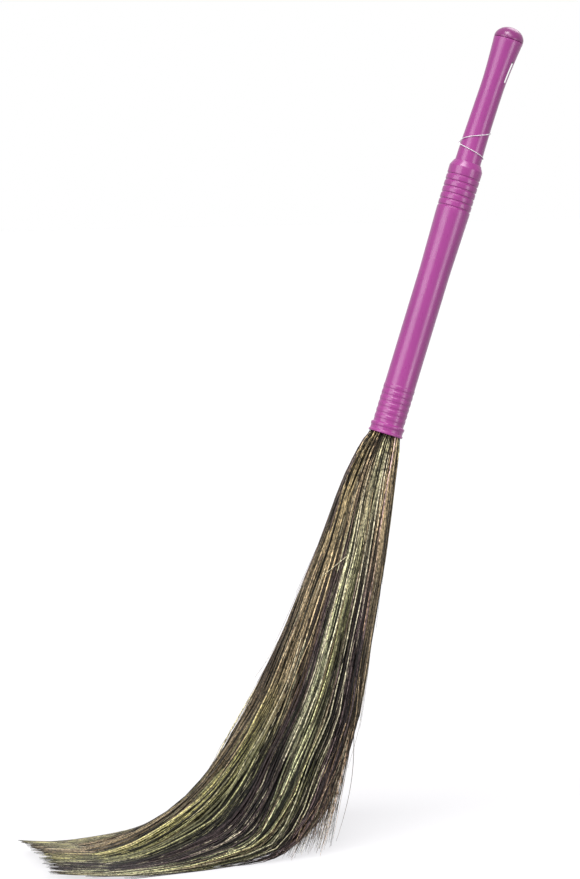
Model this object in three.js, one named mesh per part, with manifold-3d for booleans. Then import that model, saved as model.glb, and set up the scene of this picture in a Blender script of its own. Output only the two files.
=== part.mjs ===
// Household grass broom with a moulded plastic handle, standing on its grass
//
// Lengths are millimetres and +Z is up. The floor is at z = 0. The handle leans towards +X and the grass
// sweeps towards -X, where its long stalks lie on the floor. Pieces of the handle are made in the handle's
// own frame: the sleeve's mouth is at its origin and +Z runs up the handle's axis.

import * as THREE from 'three';
import { mergeGeometries, mergeVertices } from 'three/addons/utils/BufferGeometryUtils.js';
import Module from 'manifold-3d';

const wasm = await Module();
wasm.setup();

// Stance of the broom
const handleLean = THREE.MathUtils.degToRad(18.3);
const mouthHeight = 441.7;
const viewTurn = THREE.MathUtils.degToRad(22);

// Clearances and cutting values
const fitGap = 0.3;
const weldDistance = 0.001;
const cutOverrun = 5;
const roundFacets = 32;
const gapSamplesPerTurn = 72;

// Socket sleeve, measured up from its mouth
const sleeveLength = 315;
const sleeveRadius = 17.2;
const sleeveTopRadius = 18.7;
const sleeveWall = 1.7;
const flareStart = 190;
const flareEnd = 257;
const shoulderHeight = 6.6;
const neckRimWidth = 0.6;
const neckDepth = 62;
const mouthChamfer = 1.6;
const lipRadius = 19.4;
const lipLength = 8.2;
const lipRound = 1.2;
const lipGrooveWidth = 1.6;
const lipGrooveDepth = 1.3;
const beadRadius = 19;
const beadLength = 4.2;
const lowerRingCount = 6;
const lowerRingStart = 20;
const lowerRingPitch = 6.9;
const lowerRingHeight = 0.5;
const lowerRingWidth = 4.6;
const lowerRingFlat = 3.4;
const upperGrooveCount = 6;
const upperGrooveStart = 262.6;
const upperGroovePitch = 7.1;
const upperGrooveWidth = 2.2;
const upperGrooveDepth = 0.8;

// Grip tube, whose foot is pressed into the sleeve's neck
const gripFootRadius = 14.5;
const gripWaistRadius = 13.2;
const gripTopRadius = 16.6;
const gripWall = 1.8;
const gripWaistRise = 90;
const gripTopRise = 143;
const gripBow = 3.9;
const gripBowStartRise = 15;
const bowGrowthShare = 1.4;
const flareGrowthShare = 1.5;
const gripSteps = 11;

// Hanging slot in the grip, cut straight through beside the wall
const slotLength = 25;
const slotWidth = 3.4;
const slotBar = 1.4;
const slotCentreRise = 108;
const slotEndFacets = 6;

// End cap, a hollow dome with a skirt pressed into the grip
const capHeight = 14;
const capWall = 2;
const capSkirtDepth = 11;
const domeSteps = 6;

// Thread wound twice round the grip: its heights above the neck where it passes the two sides
const threadDiameter = 0.9;
const threadEndGap = 1.2;
const threadHeightRightFirst = 39.3;
const threadHeightLeftFirst = 21.2;
const threadHeightRightSecond = 8.2;
const threadHeightLeftSecond = 18.3;
const threadCrossingGap = 0.6;
const threadStepsPerTurn = 18;
const threadSides = 5;

// Packed stalks, wire ties and wedge inside the sleeve
const stalkLength = 118;
const mouthPackLength = 22;
const tieWireDiameter = 1.5;
const tieTurns = 3;
const tiePitch = 2.3;
const tieStepsPerTurn = 16;
const tieSides = 6;
const lowerTieHeight = 36;
const upperTieHeight = 84;
const wedgeLength = 58;
const wedgeHeadWidth = 7.4;
const wedgeTipWidth = 2.4;
const hankGap = 0.3;
const packRecess = 1;
const sliceArcSteps = 4;

// Grass head: half its depth and half its width at stations along the handle's axis, then its foot
const neckDrop = 50;
const neckHalfDepth = 29.8;
const neckHalfWidth = 31;
const bellyDrop = 318;
const bellyHalfDepth = 50.4;
const bellyHalfWidth = 81;
const bellyOffset = 2.6;
const heelReach = 101;
const heelRounding = 46;
const kneeReach = 246;
const kneeHeight = 36;
const kneeRounding = 52;
const footHalfWidth = 96;
const footTurn = 5;
const toeReach = 214;
const tailReach = 418;
const tailHeight = 9;
const tailHalfWidth = 79;
const tailTurn = 33;
const sideDropShare = 0.6;
const floorCut = 0.5;

// Straight strands at the heel, which end on the floor outside the sweep
const heelRows = 2;
const heelTipReach = 62;
const heelRowPitch = 17;
const heelTipScatter = 8;
const heelOverrun = 2;

// Layout of the strands over the head's section, as shares of its half sizes
const columnsPerSide = 10;
const innerColumnsPerSide = 4;
const columnShare = 0.1;
const rowShare = 0.101;
const edgeShare = 0.045;
const rootSpreadShare = 0.96;
const strandSides = 3;
const rootStrandShares = { depth: 0.04, across: 0.045 };
const neckStrandShares = { depth: 0.045, across: 0.052 };
const bellyStrandShares = { depth: 0.032, across: 0.054 };
const footStrandShares = { depth: 0.045, across: 0.054 };
const heelStrandShares = { depth: 0.02, across: 0.03 };
const bellySquareShare = 0.25;
const shortestTipShare = 0.86;
const scatterRate = 12.9898;
const scatterHeight = 43758.5453;
const scatterSeedsPerColumn = 37;

// Values that follow from the sizes above
const neckHeight = sleeveLength;
const shoulderStart = sleeveLength - shoulderHeight;
const boreRadius = sleeveRadius - sleeveWall;
const neckBoreRadius = gripFootRadius + fitGap;
const packRadius = boreRadius - fitGap - fitGap;
const tiedRadius = packRadius - tieWireDiameter - fitGap;
const gripFootHeight = neckHeight - neckDepth;
const gripTopHeight = neckHeight + gripTopRise;
const mouth = new THREE.Vector3(0, 0, mouthHeight);
const up = new THREE.Vector3(Math.sin(handleLean), 0, Math.cos(handleLean));
const side = new THREE.Vector3(Math.cos(handleLean), 0, -Math.sin(handleLean));

// Finishes
const finishes = {
  handle: { color: 0xac408f, roughness: 0.32, metalness: 0 },
  cap: { color: 0x8f2f7c, roughness: 0.4, metalness: 0 },
  thread: { color: 0xf1ecef, roughness: 0.5, metalness: 0 },
  wire: { color: 0x9aa0a4, roughness: 0.35, metalness: 1 },
  wedge: { color: 0xb48a5a, roughness: 0.8, metalness: 0 },
  oliveGrass: { color: 0x8f8f55, roughness: 0.9, metalness: 0 },
  tanGrass: { color: 0xa98c60, roughness: 0.9, metalness: 0 },
  greenGrass: { color: 0xa9b478, roughness: 0.9, metalness: 0 },
  darkGrass: { color: 0x4f4144, roughness: 0.9, metalness: 0 },
};

// Solids and meshes
function toSolid(geometry) {
  const bare = geometry.clone();
  bare.deleteAttribute('normal');
  bare.deleteAttribute('uv');
  const welded = mergeVertices(bare, weldDistance);
  const corners = welded.index.array;
  const kept = [];
  for (let i = 0; i < corners.length; i += 3) {
    const [a, b, c] = [corners[i], corners[i + 1], corners[i + 2]];
    if (a !== b && b !== c && c !== a) {
      kept.push(a, b, c);
    }
  }
  const mesh = new wasm.Mesh({
    numProp: 3,
    vertProperties: new Float32Array(welded.attributes.position.array),
    triVerts: new Uint32Array(kept),
  });
  return new wasm.Manifold(mesh);
}

function toGeometry(solid) {
  const mesh = solid.getMesh();
  const geometry = new THREE.BufferGeometry();
  geometry.setAttribute('position', new THREE.BufferAttribute(mesh.vertProperties, 3));
  geometry.setIndex(new THREE.BufferAttribute(mesh.triVerts, 1));
  geometry.computeVertexNormals();
  return geometry;
}

function named(name, geometry, finish) {
  const mesh = new THREE.Mesh(geometry, new THREE.MeshStandardMaterial(finishes[finish]));
  mesh.name = name;
  return mesh;
}

// A solid turned round the Z axis from a profile of radius and height pairs
function turned(profile, facets) {
  const points = profile.map(([radius, height]) => new THREE.Vector2(radius, height));
  const geometry = new THREE.LatheGeometry(points, facets);
  geometry.rotateX(Math.PI / 2);
  return geometry;
}

// A solid whose skin runs through rings of equal count. A ring can be one point, which closes an end.
function lofted(rings, closed) {
  const positions = [];
  const starts = [];
  for (const ring of rings) {
    starts.push(positions.length / 3);
    ring.forEach((point) => positions.push(point.x, point.y, point.z));
  }
  const index = [];
  const spans = closed ? rings.length : rings.length - 1;
  for (let i = 0; i < spans; i += 1) {
    const next = (i + 1) % rings.length;
    const count = Math.max(rings[i].length, rings[next].length);
    for (let j = 0; j < count; j += 1) {
      const k = (j + 1) % count;
      const [a, b] = [j, k].map((corner) => starts[i] + corner % rings[i].length);
      const [c, d] = [k, j].map((corner) => starts[next] + corner % rings[next].length);
      if (a !== b) {
        index.push(a, b, c);
      }
      if (c !== d) {
        index.push(a, c, d);
      }
    }
  }
  const geometry = new THREE.BufferGeometry();
  geometry.setAttribute('position', new THREE.Float32BufferAttribute(positions, 3));
  geometry.setIndex(index);
  return geometry;
}

// A round tube swept along a curve
function sweptTube(curve, diameter, steps, sides) {
  const section = new THREE.Shape();
  for (let i = 0; i < sides; i += 1) {
    const angle = (i / sides) * Math.PI * 2;
    const [x, y] = [Math.cos(angle) * diameter / 2, Math.sin(angle) * diameter / 2];
    if (i === 0) {
      section.moveTo(x, y);
    } else {
      section.lineTo(x, y);
    }
  }
  section.closePath();
  return new THREE.ExtrudeGeometry(section, { extrudePath: curve, steps, bevelEnabled: false });
}

// Least gap of a wound tube to itself, between points more than half a turn apart along it
function reportLeastGap(name, curve, diameter, turns) {
  const samples = Math.ceil(turns * gapSamplesPerTurn);
  const points = curve.getPoints(samples);
  let least = Infinity;
  for (let i = 0; i < points.length; i += 1) {
    for (let j = i + gapSamplesPerTurn / 2; j < points.length; j += 1) {
      least = Math.min(least, points[i].distanceTo(points[j]) - diameter);
    }
  }
  console.log(`${name}: least gap to itself ${least.toFixed(2)} mm`);
}

// Socket sleeve: lip, bead and rings at the mouth, lock grooves under a chamfered shoulder, stepped bore
function sleeveOuterRadius(height) {
  const share = THREE.MathUtils.clamp((height - flareStart) / (flareEnd - flareStart), 0, 1);
  return THREE.MathUtils.lerp(sleeveRadius, sleeveTopRadius, share);
}

function sleeveProfile() {
  const lipEnd = lipLength + lipGrooveWidth;
  const beadEnd = lipEnd + beadLength;
  const profile = [
    [boreRadius + mouthChamfer, 0],
    [lipRadius - lipRound, 0],
    [lipRadius, lipRound],
    [lipRadius, lipLength - lipRound / 2],
    [lipRadius - lipGrooveDepth, lipLength],
    [lipRadius - lipGrooveDepth, lipEnd],
    [beadRadius, lipEnd + beadLength / 4],
    [beadRadius, beadEnd - beadLength / 4],
    [sleeveRadius, beadEnd],
  ];
  for (let i = 0; i < lowerRingCount; i += 1) {
    const height = lowerRingStart + i * lowerRingPitch;
    profile.push([sleeveRadius, height - lowerRingWidth / 2]);
    profile.push([sleeveRadius + lowerRingHeight, height - lowerRingFlat / 2]);
    profile.push([sleeveRadius + lowerRingHeight, height + lowerRingFlat / 2]);
    profile.push([sleeveRadius, height + lowerRingWidth / 2]);
  }
  profile.push([sleeveRadius, flareStart]);
  profile.push([sleeveTopRadius, flareEnd]);
  for (let i = 0; i < upperGrooveCount; i += 1) {
    const height = upperGrooveStart + i * upperGroovePitch;
    profile.push([sleeveOuterRadius(height), height - upperGrooveWidth / 2]);
    profile.push([sleeveOuterRadius(height) - upperGrooveDepth, height]);
    profile.push([sleeveOuterRadius(height), height + upperGrooveWidth / 2]);
  }
  profile.push([sleeveTopRadius, shoulderStart]);
  profile.push([neckBoreRadius + neckRimWidth, sleeveLength]);
  profile.push([neckBoreRadius, sleeveLength]);
  profile.push([neckBoreRadius, gripFootHeight - fitGap]);
  profile.push([boreRadius, gripFootHeight - fitGap]);
  profile.push([boreRadius, mouthChamfer * 2]);
  profile.push([boreRadius + mouthChamfer, 0]);
  return profile;
}

function socketSleeve() {
  return named('socket_sleeve', turned(sleeveProfile(), roundFacets), 'handle');
}

// Grip: its outer radius and the sideways bow of its centre at a rise above the neck
function gripRadius(rise) {
  if (rise <= gripWaistRise) {
    const share = THREE.MathUtils.clamp(rise / gripWaistRise, 0, 1);
    return THREE.MathUtils.lerp(gripFootRadius, gripWaistRadius, Math.sin(share * Math.PI / 2));
  }
  const share = (rise - gripWaistRise) / (gripTopRise - gripWaistRise);
  return gripWaistRadius + (gripTopRadius - gripWaistRadius) * share ** flareGrowthShare;
}

function gripCentre(rise) {
  const share = THREE.MathUtils.clamp((rise - gripBowStartRise) / (gripTopRise - gripBowStartRise), 0, 1);
  return gripBow * share ** bowGrowthShare;
}

function gripRing(rise, radius, height) {
  const ring = [];
  for (let i = 0; i < roundFacets; i += 1) {
    const angle = (i / roundFacets) * Math.PI * 2;
    const x = gripCentre(rise) + Math.cos(angle) * radius;
    ring.push(new THREE.Vector3(x, Math.sin(angle) * radius, height));
  }
  return ring;
}

function gripRises() {
  const rises = [-neckDepth, 0];
  for (let i = 1; i <= gripSteps; i += 1) {
    rises.push((i / gripSteps) * gripTopRise);
  }
  return rises;
}

function slotCutter() {
  const radius = slotWidth / 2;
  const straight = (slotLength - slotWidth) / 2;
  const shape = new THREE.Shape();
  shape.absarc(0, straight, radius, 0, Math.PI, false);
  shape.absarc(0, -straight, radius, Math.PI, Math.PI * 2, false);
  shape.closePath();
  const depth = (gripTopRadius + cutOverrun) * 2;
  const form = { depth, bevelEnabled: false, curveSegments: slotEndFacets };
  const cutter = new THREE.ExtrudeGeometry(shape, form);
  cutter.translate(0, 0, -depth / 2);
  cutter.rotateX(Math.PI / 2);
  const offset = gripRadius(slotCentreRise) - slotBar - slotWidth / 2;
  cutter.translate(offset, 0, 0);
  cutter.rotateZ(-viewTurn);
  cutter.translate(gripCentre(slotCentreRise), 0, neckHeight + slotCentreRise);
  return cutter;
}

function gripTube() {
  const rises = gripRises();
  const outer = rises.map((rise) => gripRing(rise, gripRadius(rise), neckHeight + rise));
  const inner = rises.map((rise) => gripRing(rise, gripRadius(rise) - gripWall, neckHeight + rise));
  const tube = toSolid(lofted([...outer, ...inner.reverse()], true));
  return named('grip_tube', toGeometry(tube.subtract(toSolid(slotCutter()))), 'handle');
}

// End cap
function domeRing(radius, height, share) {
  const angle = share * Math.PI / 2;
  const rim = gripTopHeight + fitGap;
  return gripRing(gripTopRise, radius * Math.cos(angle), rim + height * Math.sin(angle));
}

function endCap() {
  const rim = gripTopHeight + fitGap;
  const skirtRise = gripTopRise - capSkirtDepth;
  const skirtTop = gripTopRadius - gripWall - fitGap;
  const skirtFoot = gripRadius(skirtRise) - gripWall - fitGap - fitGap;
  const rings = [[new THREE.Vector3(gripCentre(gripTopRise), 0, rim + capHeight - capWall)]];
  for (let i = domeSteps - 1; i >= 0; i -= 1) {
    rings.push(domeRing(skirtTop - capWall, capHeight - capWall, i / domeSteps));
  }
  rings.push(gripRing(skirtRise, skirtFoot - capWall, neckHeight + skirtRise));
  rings.push(gripRing(skirtRise, skirtFoot, neckHeight + skirtRise));
  rings.push(gripRing(gripTopRise, skirtTop, rim - fitGap));
  rings.push(gripRing(gripTopRise, skirtTop, rim));
  for (let i = 0; i < domeSteps; i += 1) {
    rings.push(domeRing(gripTopRadius, capHeight, i / domeSteps));
  }
  rings.push([new THREE.Vector3(gripCentre(gripTopRise), 0, rim + capHeight)]);
  return named('end_cap', lofted(rings, false), 'cap');
}

// Thread wound twice round the grip, its ends tied behind it
class WoundThread extends THREE.Curve {
  constructor() {
    super();
    const back = (threadHeightLeftSecond + threadHeightRightFirst) / 2;
    const first = [threadHeightRightFirst, threadHeightLeftFirst];
    const second = [threadHeightRightSecond, threadHeightLeftSecond];
    this.heights = [back, ...first, ...second, back];
    this.angles = [-0.5, 0, 1, 2, 3, 3.5].map((halfTurns) => halfTurns * Math.PI);
    const sinking = threadHeightLeftFirst - threadHeightRightSecond;
    const rising = threadHeightRightFirst - threadHeightLeftSecond;
    const apart = threadHeightLeftFirst - threadHeightLeftSecond;
    this.crossing = (3 + apart / (sinking + rising)) * Math.PI;
    this.trim = threadEndGap / gripFootRadius;
  }

  riseAt(angle) {
    let i = 0;
    while (i < this.angles.length - 2 && angle > this.angles[i + 1]) {
      i += 1;
    }
    const share = (angle - this.angles[i]) / (this.angles[i + 1] - this.angles[i]);
    return THREE.MathUtils.lerp(this.heights[i], this.heights[i + 1], share);
  }

  getPoint(t, target = new THREE.Vector3()) {
    const first = this.angles[0] + this.trim;
    const last = this.angles[this.angles.length - 1] - this.trim;
    const angle = THREE.MathUtils.lerp(first, last, t);
    const blur = Math.PI / 16;
    const rise = (this.riseAt(angle - blur) + this.riseAt(angle + blur)) / 2;
    const nearness = THREE.MathUtils.clamp(1 - Math.abs(angle - this.crossing) / (Math.PI / 3), 0, 1);
    const lift = (threadDiameter + threadCrossingGap) * Math.sin(nearness * Math.PI / 2) ** 2;
    const radius = gripRadius(rise) + fitGap + threadDiameter / 2 + lift;
    const turn = -viewTurn - angle;
    const x = gripCentre(rise) + Math.cos(turn) * radius;
    return target.set(x, Math.sin(turn) * radius, neckHeight + rise);
  }
}

function gripThread() {
  const curve = new WoundThread();
  reportLeastGap('grip_thread', curve, threadDiameter, 2);
  const steps = threadStepsPerTurn * 2;
  return named('grip_thread', sweptTube(curve, threadDiameter, steps, threadSides), 'thread');
}

// Wire ties wound round the packed stalks
class TieHelix extends THREE.Curve {
  constructor(height) {
    super();
    this.height = height;
    this.radius = tiedRadius + fitGap + tieWireDiameter / 2;
  }

  getPoint(t, target = new THREE.Vector3()) {
    const angle = t * tieTurns * Math.PI * 2;
    const z = this.height + t * tieTurns * tiePitch;
    return target.set(Math.cos(angle) * this.radius, Math.sin(angle) * this.radius, z);
  }
}

function tieWire(name, height) {
  const curve = new TieHelix(height);
  reportLeastGap(name, curve, tieWireDiameter, tieTurns);
  return named(name, sweptTube(curve, tieWireDiameter, tieStepsPerTurn * tieTurns, tieSides), 'wire');
}

// Wooden wedge driven down among the stalk ends, and the same shape with clearance
function wedgeGeometry(clearance) {
  const head = (wedgeHeadWidth / 2 + clearance) * Math.SQRT2;
  const tip = (wedgeTipWidth / 2 + clearance) * Math.SQRT2;
  const geometry = new THREE.CylinderGeometry(head, tip, wedgeLength, 4);
  geometry.rotateX(Math.PI / 2);
  geometry.rotateZ(Math.PI / 4);
  geometry.translate(0, 0, stalkLength - wedgeLength / 2);
  return geometry;
}

function stalkWedge() {
  return named('stalk_wedge', wedgeGeometry(0), 'wedge');
}

// Outline of one hank's slice of the packed stalks, between two places across the pack
function arcPoints(radius, start, end, steps) {
  const points = [];
  for (let i = 0; i <= steps; i += 1) {
    const angle = THREE.MathUtils.lerp(start, end, i / steps);
    points.push(new THREE.Vector2(Math.cos(angle) * radius, Math.sin(angle) * radius));
  }
  return points;
}

function sliceOutline(radius, from, to) {
  const low = Math.asin(Math.max(from, -radius) / radius);
  const high = Math.asin(Math.min(to, radius) / radius);
  if (to >= radius) {
    return arcPoints(radius, low, Math.PI - low, sliceArcSteps * 2 + 1);
  }
  if (from <= -radius) {
    return arcPoints(radius, Math.PI - high, Math.PI * 2 + high, sliceArcSteps * 2 + 1);
  }
  const near = arcPoints(radius, low, high, sliceArcSteps);
  return [...near, ...arcPoints(radius, Math.PI - high, Math.PI - low, sliceArcSteps)];
}

// Place of a point given along the handle's side direction, across it and up its axis
function alongHandle(x, y, height) {
  return mouth.clone().addScaledVector(side, x).addScaledVector(up, height).setY(y);
}

// Flat face with holes, at a height up the handle's axis
function flatFace(outline, holes, height, facingUp) {
  const corners = [outline, ...holes].flat();
  const triangles = THREE.ShapeUtils.triangulateShape([...outline], holes.map((hole) => [...hole]));
  const positions = [];
  for (const triangle of triangles) {
    const clockwise = THREE.ShapeUtils.isClockWise(triangle.map((corner) => corners[corner]));
    const order = clockwise === facingUp ? [...triangle].reverse() : triangle;
    for (const corner of order) {
      const point = alongHandle(corners[corner].x, corners[corner].y, height);
      positions.push(point.x, point.y, point.z);
    }
  }
  const geometry = new THREE.BufferGeometry();
  geometry.setAttribute('position', new THREE.Float32BufferAttribute(positions, 3));
  return geometry;
}

// Slice of the packed stalks: full size at the mouth, drawn in above by the ties
function sliceSkin(from, to, strandRoots) {
  const levels = [
    [packRadius, packRecess],
    [packRadius, mouthPackLength],
    [tiedRadius, mouthPackLength + packRadius - tiedRadius],
    [tiedRadius, stalkLength],
  ];
  const rings = levels.map(([radius, height]) => {
    const outline = sliceOutline(radius, from, to);
    return outline.map((point) => alongHandle(point.x, point.y, height));
  });
  return [
    lofted(rings, false).toNonIndexed(),
    flatFace(sliceOutline(packRadius, from, to), strandRoots, packRecess, false),
    flatFace(sliceOutline(tiedRadius, from, to), [], stalkLength, true),
  ];
}

// Stations of the head: the section's low and high edges in the XZ plane and its half width. The belly lies
// a little beside the handle's axis. At the foot the head turns towards -Y, its top drops at the sides, and
// heel and knee are rounded off towards the sides.
function axisStation(drop, offset, halfDepth, halfWidth, squareShare, strandShares) {
  const centre = mouth.clone().addScaledVector(up, -drop).addScaledVector(side, offset);
  const low = centre.clone().addScaledVector(side, halfDepth);
  const high = centre.clone().addScaledVector(side, -halfDepth);
  const form = { onFloor: false, turn: 0, sideDrop: 0, lowRounding: 0, highRounding: 0 };
  return { low, high, halfWidth, squareShare, strandShares, ...form };
}

function floorStation(sizes) {
  const low = new THREE.Vector3(-sizes.lowReach, 0, -floorCut);
  const high = new THREE.Vector3(-sizes.highReach, 0, sizes.highHeight);
  const form = { onFloor: true, squareShare: 1, sideDrop: sideDropShare, strandShares: footStrandShares };
  return { ...sizes, low, high, ...form };
}

const rootSpread = packRadius * rootSpreadShare;
const axisStations = [
  axisStation(-packRecess, 0, rootSpread, rootSpread, 0, rootStrandShares),
  axisStation(neckDrop, 0, neckHalfDepth, neckHalfWidth, 0, neckStrandShares),
  axisStation(bellyDrop, bellyOffset, bellyHalfDepth, bellyHalfWidth, bellySquareShare, bellyStrandShares),
];
const footStation = floorStation({
  lowReach: heelReach,
  highReach: kneeReach,
  highHeight: kneeHeight,
  halfWidth: footHalfWidth,
  turn: footTurn,
  lowRounding: heelRounding,
  highRounding: kneeRounding,
});
const tipStation = floorStation({
  lowReach: toeReach,
  highReach: tailReach,
  highHeight: tailHeight,
  halfWidth: tailHalfWidth,
  turn: tailTurn,
  lowRounding: heelRounding,
  highRounding: 0,
});

// Place in a section: depth runs from the low edge (-1) to the high edge (1), across from -1 to 1
function sectionPoint(station, strand, depthStep, acrossStep) {
  const reach = THREE.MathUtils.lerp(1, strand.columnReach, station.squareShare);
  const depth = station.onFloor ? strand.floorDepth : strand.depth;
  const share = ((depth + depthStep) / reach + 1) / 2;
  const across = strand.across + acrossStep;
  const point = station.low.clone().lerp(station.high, share);
  point.x -= station.lowRounding * across * across * (1 - share);
  point.x += station.highRounding * across * across * share;
  point.y = across * station.halfWidth - station.turn;
  point.z -= (station.high.z - station.low.z) * share * station.sideDrop * across * across;
  return point;
}

function strandCorners(shares) {
  const corners = [];
  for (let i = 0; i < strandSides; i += 1) {
    const angle = (i / strandSides) * Math.PI * 2;
    corners.push([Math.cos(angle) * shares.depth, Math.sin(angle) * shares.across]);
  }
  return corners;
}

function strandRing(station, strand) {
  const corners = strandCorners(station.strandShares);
  return corners.map(([depth, across]) => sectionPoint(station, strand, depth, across));
}

// A strand's hole in the face of the packed stalks, where its skin starts
function strandRoot(strand) {
  return strandCorners(rootStrandShares).map(([depth, across]) => {
    const x = -(strand.depth + depth) * rootSpread;
    return new THREE.Vector2(x, (strand.across + across) * rootSpread);
  });
}

// Place of a heel strand's end, some way under the floor, which trims it
function heelPoint(strand, depthStep, acrossStep, sunk) {
  const across = strand.across + acrossStep;
  const x = strand.heelReach + depthStep * bellyHalfDepth + heelRounding * across * across;
  return new THREE.Vector3(-x, across * footHalfWidth - footTurn, -sunk);
}

function heelEnd(strand) {
  const corners = strandCorners(heelStrandShares);
  const ring = corners.map(([depth, across]) => heelPoint(strand, depth, across, heelOverrun));
  return [ring, [heelPoint(strand, 0, 0, heelOverrun * 2)]];
}

function sweptEnd(strand) {
  const foot = sectionPoint(footStation, strand, 0, 0);
  const tip = sectionPoint(tipStation, strand, -footStrandShares.depth / 2, 0);
  return [strandRing(footStation, strand), [foot.lerp(tip, strand.tipShare)]];
}

// A strand runs through its place in every section. It ends on the floor at the heel, or sweeps to its tip.
function strandSkin(strand) {
  const rings = axisStations.map((station) => strandRing(station, strand));
  const end = strand.heelReach ? heelEnd(strand) : sweptEnd(strand);
  return lofted([...rings, ...end], false).toNonIndexed();
}

// Uneven but repeatable share between 0 and 1: the fraction left over of a fast, tall sine wave
function scatter(seed) {
  const wave = Math.sin(seed * scatterRate) * scatterHeight;
  return wave - Math.floor(wave);
}

// Strands of one column across the head: evenly spaced, and again where they meet the floor
function columnStrands(column) {
  const across = (column + 0.5) * columnShare;
  const reach = Math.sqrt(1 - across * across) - edgeShare;
  const columnReach = reach + footStrandShares.depth / 2;
  const gaps = Math.floor((reach * 2) / rowShare);
  const strands = [];
  for (let i = 0; i <= gaps; i += 1) {
    const depth = -reach + (i / gaps) * reach * 2;
    const chance = scatter(column * scatterSeedsPerColumn + i + 1);
    if (i < heelRows) {
      const heelReach = heelTipReach + i * heelRowPitch + chance * heelTipScatter;
      strands.push({ across, depth, columnReach, heelReach });
    } else {
      const floorDepth = -reach + ((i - heelRows) / (gaps - heelRows)) * reach * 2;
      const tipShare = i === heelRows ? 1 : THREE.MathUtils.lerp(shortestTipShare, 1, chance);
      strands.push({ across, depth, columnReach, floorDepth, tipShare });
    }
  }
  return strands;
}

// One hank: its strands fused to its slice of the packed stalks, and cut flat where it stands
function grassHank(name, firstColumn, lastColumn, finish) {
  const strands = [];
  for (let column = firstColumn; column <= lastColumn; column += 1) {
    strands.push(...columnStrands(column));
  }
  const atEdge = (column) => Math.abs(column) === columnsPerSide;
  const from = atEdge(firstColumn) ? -packRadius : firstColumn * columnShare * rootSpread + hankGap / 2;
  const to = atEdge(lastColumn + 1) ? packRadius : (lastColumn + 1) * columnShare * rootSpread - hankGap / 2;
  const skins = [...sliceSkin(from, to, strands.map(strandRoot)), ...strands.map(strandSkin)];
  const wedgeRoom = wedgeGeometry(fitGap);
  const wedgeMouth = wedgeGeometry(fitGap);
  wedgeMouth.translate(0, 0, fitGap);
  for (const room of [wedgeRoom, wedgeMouth]) {
    room.rotateY(handleLean);
    room.translate(mouth.x, mouth.y, mouth.z);
  }
  const span = (tailReach + mouthHeight) * 2;
  const floor = new THREE.BoxGeometry(span, span, cutOverrun);
  floor.translate(0, 0, -cutOverrun / 2);
  let hank = toSolid(mergeGeometries(skins));
  for (const cutter of [wedgeRoom, wedgeMouth, floor]) {
    hank = hank.subtract(toSolid(cutter));
  }
  return named(name, toGeometry(hank), finish);
}

function grassHead() {
  const head = new THREE.Group();
  head.add(
    grassHank('grass_hank_front_outer', -columnsPerSide, -innerColumnsPerSide - 1, 'oliveGrass'),
    grassHank('grass_hank_front_inner', -innerColumnsPerSide, -1, 'tanGrass'),
    grassHank('grass_hank_back_inner', 0, innerColumnsPerSide - 1, 'darkGrass'),
    grassHank('grass_hank_back_outer', innerColumnsPerSide, columnsPerSide - 1, 'greenGrass'),
  );
  return head;
}

// Whole broom, centred over its origin
function handleAssembly() {
  const handle = new THREE.Group();
  handle.add(
    socketSleeve(),
    gripTube(),
    endCap(),
    gripThread(),
    tieWire('tie_wire_lower', lowerTieHeight),
    tieWire('tie_wire_upper', upperTieHeight),
    stalkWedge(),
  );
  handle.position.copy(mouth);
  handle.rotation.y = handleLean;
  return handle;
}

const group = new THREE.Group();
group.add(handleAssembly(), grassHead());
group.updateMatrixWorld(true);
const centre = new THREE.Box3().setFromObject(group, true).getCenter(new THREE.Vector3());
group.position.set(-centre.x, -centre.y, 0);
group.updateMatrixWorld(true);

export default group;
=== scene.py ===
"""Household grass broom: its looks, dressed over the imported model.

Lengths in the sub-assemblies are millimetres, as a maker would note them, and are turned into metres where a
mesh is written. The handle's pieces are laid out in the handle's own frame, whose origin is the middle of the
sleeve's mouth and whose +Z runs up the handle.
"""

import logging
import math
from dataclasses import dataclass
from enum import Enum
from typing import ClassVar

import bpy
import numpy as np
from mathutils import Matrix, Vector


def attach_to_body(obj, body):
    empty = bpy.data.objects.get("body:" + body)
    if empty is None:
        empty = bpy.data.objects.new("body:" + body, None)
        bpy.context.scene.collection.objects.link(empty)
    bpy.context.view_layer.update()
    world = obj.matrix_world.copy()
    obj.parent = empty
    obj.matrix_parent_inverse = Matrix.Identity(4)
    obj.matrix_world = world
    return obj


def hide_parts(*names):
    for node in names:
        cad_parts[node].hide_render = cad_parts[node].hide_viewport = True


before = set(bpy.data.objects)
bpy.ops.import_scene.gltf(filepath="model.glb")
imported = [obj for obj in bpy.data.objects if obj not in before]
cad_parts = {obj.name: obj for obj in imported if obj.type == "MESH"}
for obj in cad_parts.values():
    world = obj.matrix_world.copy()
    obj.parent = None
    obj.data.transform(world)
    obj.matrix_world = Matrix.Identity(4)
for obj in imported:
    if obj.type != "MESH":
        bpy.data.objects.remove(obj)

MM = 0.001
ROOT = "root"
PHOTO_HEIGHT = 879
FIT_GAP = 0.3
HANDLE_LEAN = math.radians(18.3)
VIEW_TURN = math.radians(22.0)
SHARP_ANGLE = math.radians(38.0)
TINY = 1e-12

Point = tuple[float, float, float]
Colour = tuple[float, float, float]
Face = tuple[int, ...]
Surface = tuple[np.ndarray, list[Face]]
Profile = list[tuple[float, float]]
Inputs = dict[str | int, object]
Values = np.ndarray | float


def linear(red: int, green: int, blue: int) -> Colour:
    """Turns a colour of 0 to 255 per channel into Blender's linear values.

    Args:
        red: Red as it is seen on a screen.
        green: Green as it is seen on a screen.
        blue: Blue as it is seen on a screen.

    Returns:
        The linear red, green and blue.
    """
    shares = (channel / 255 for channel in (red, green, blue))
    return tuple(share / 12.92 if share <= 0.04045 else ((share + 0.055) / 1.055) ** 2.4 for share in shares)


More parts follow.
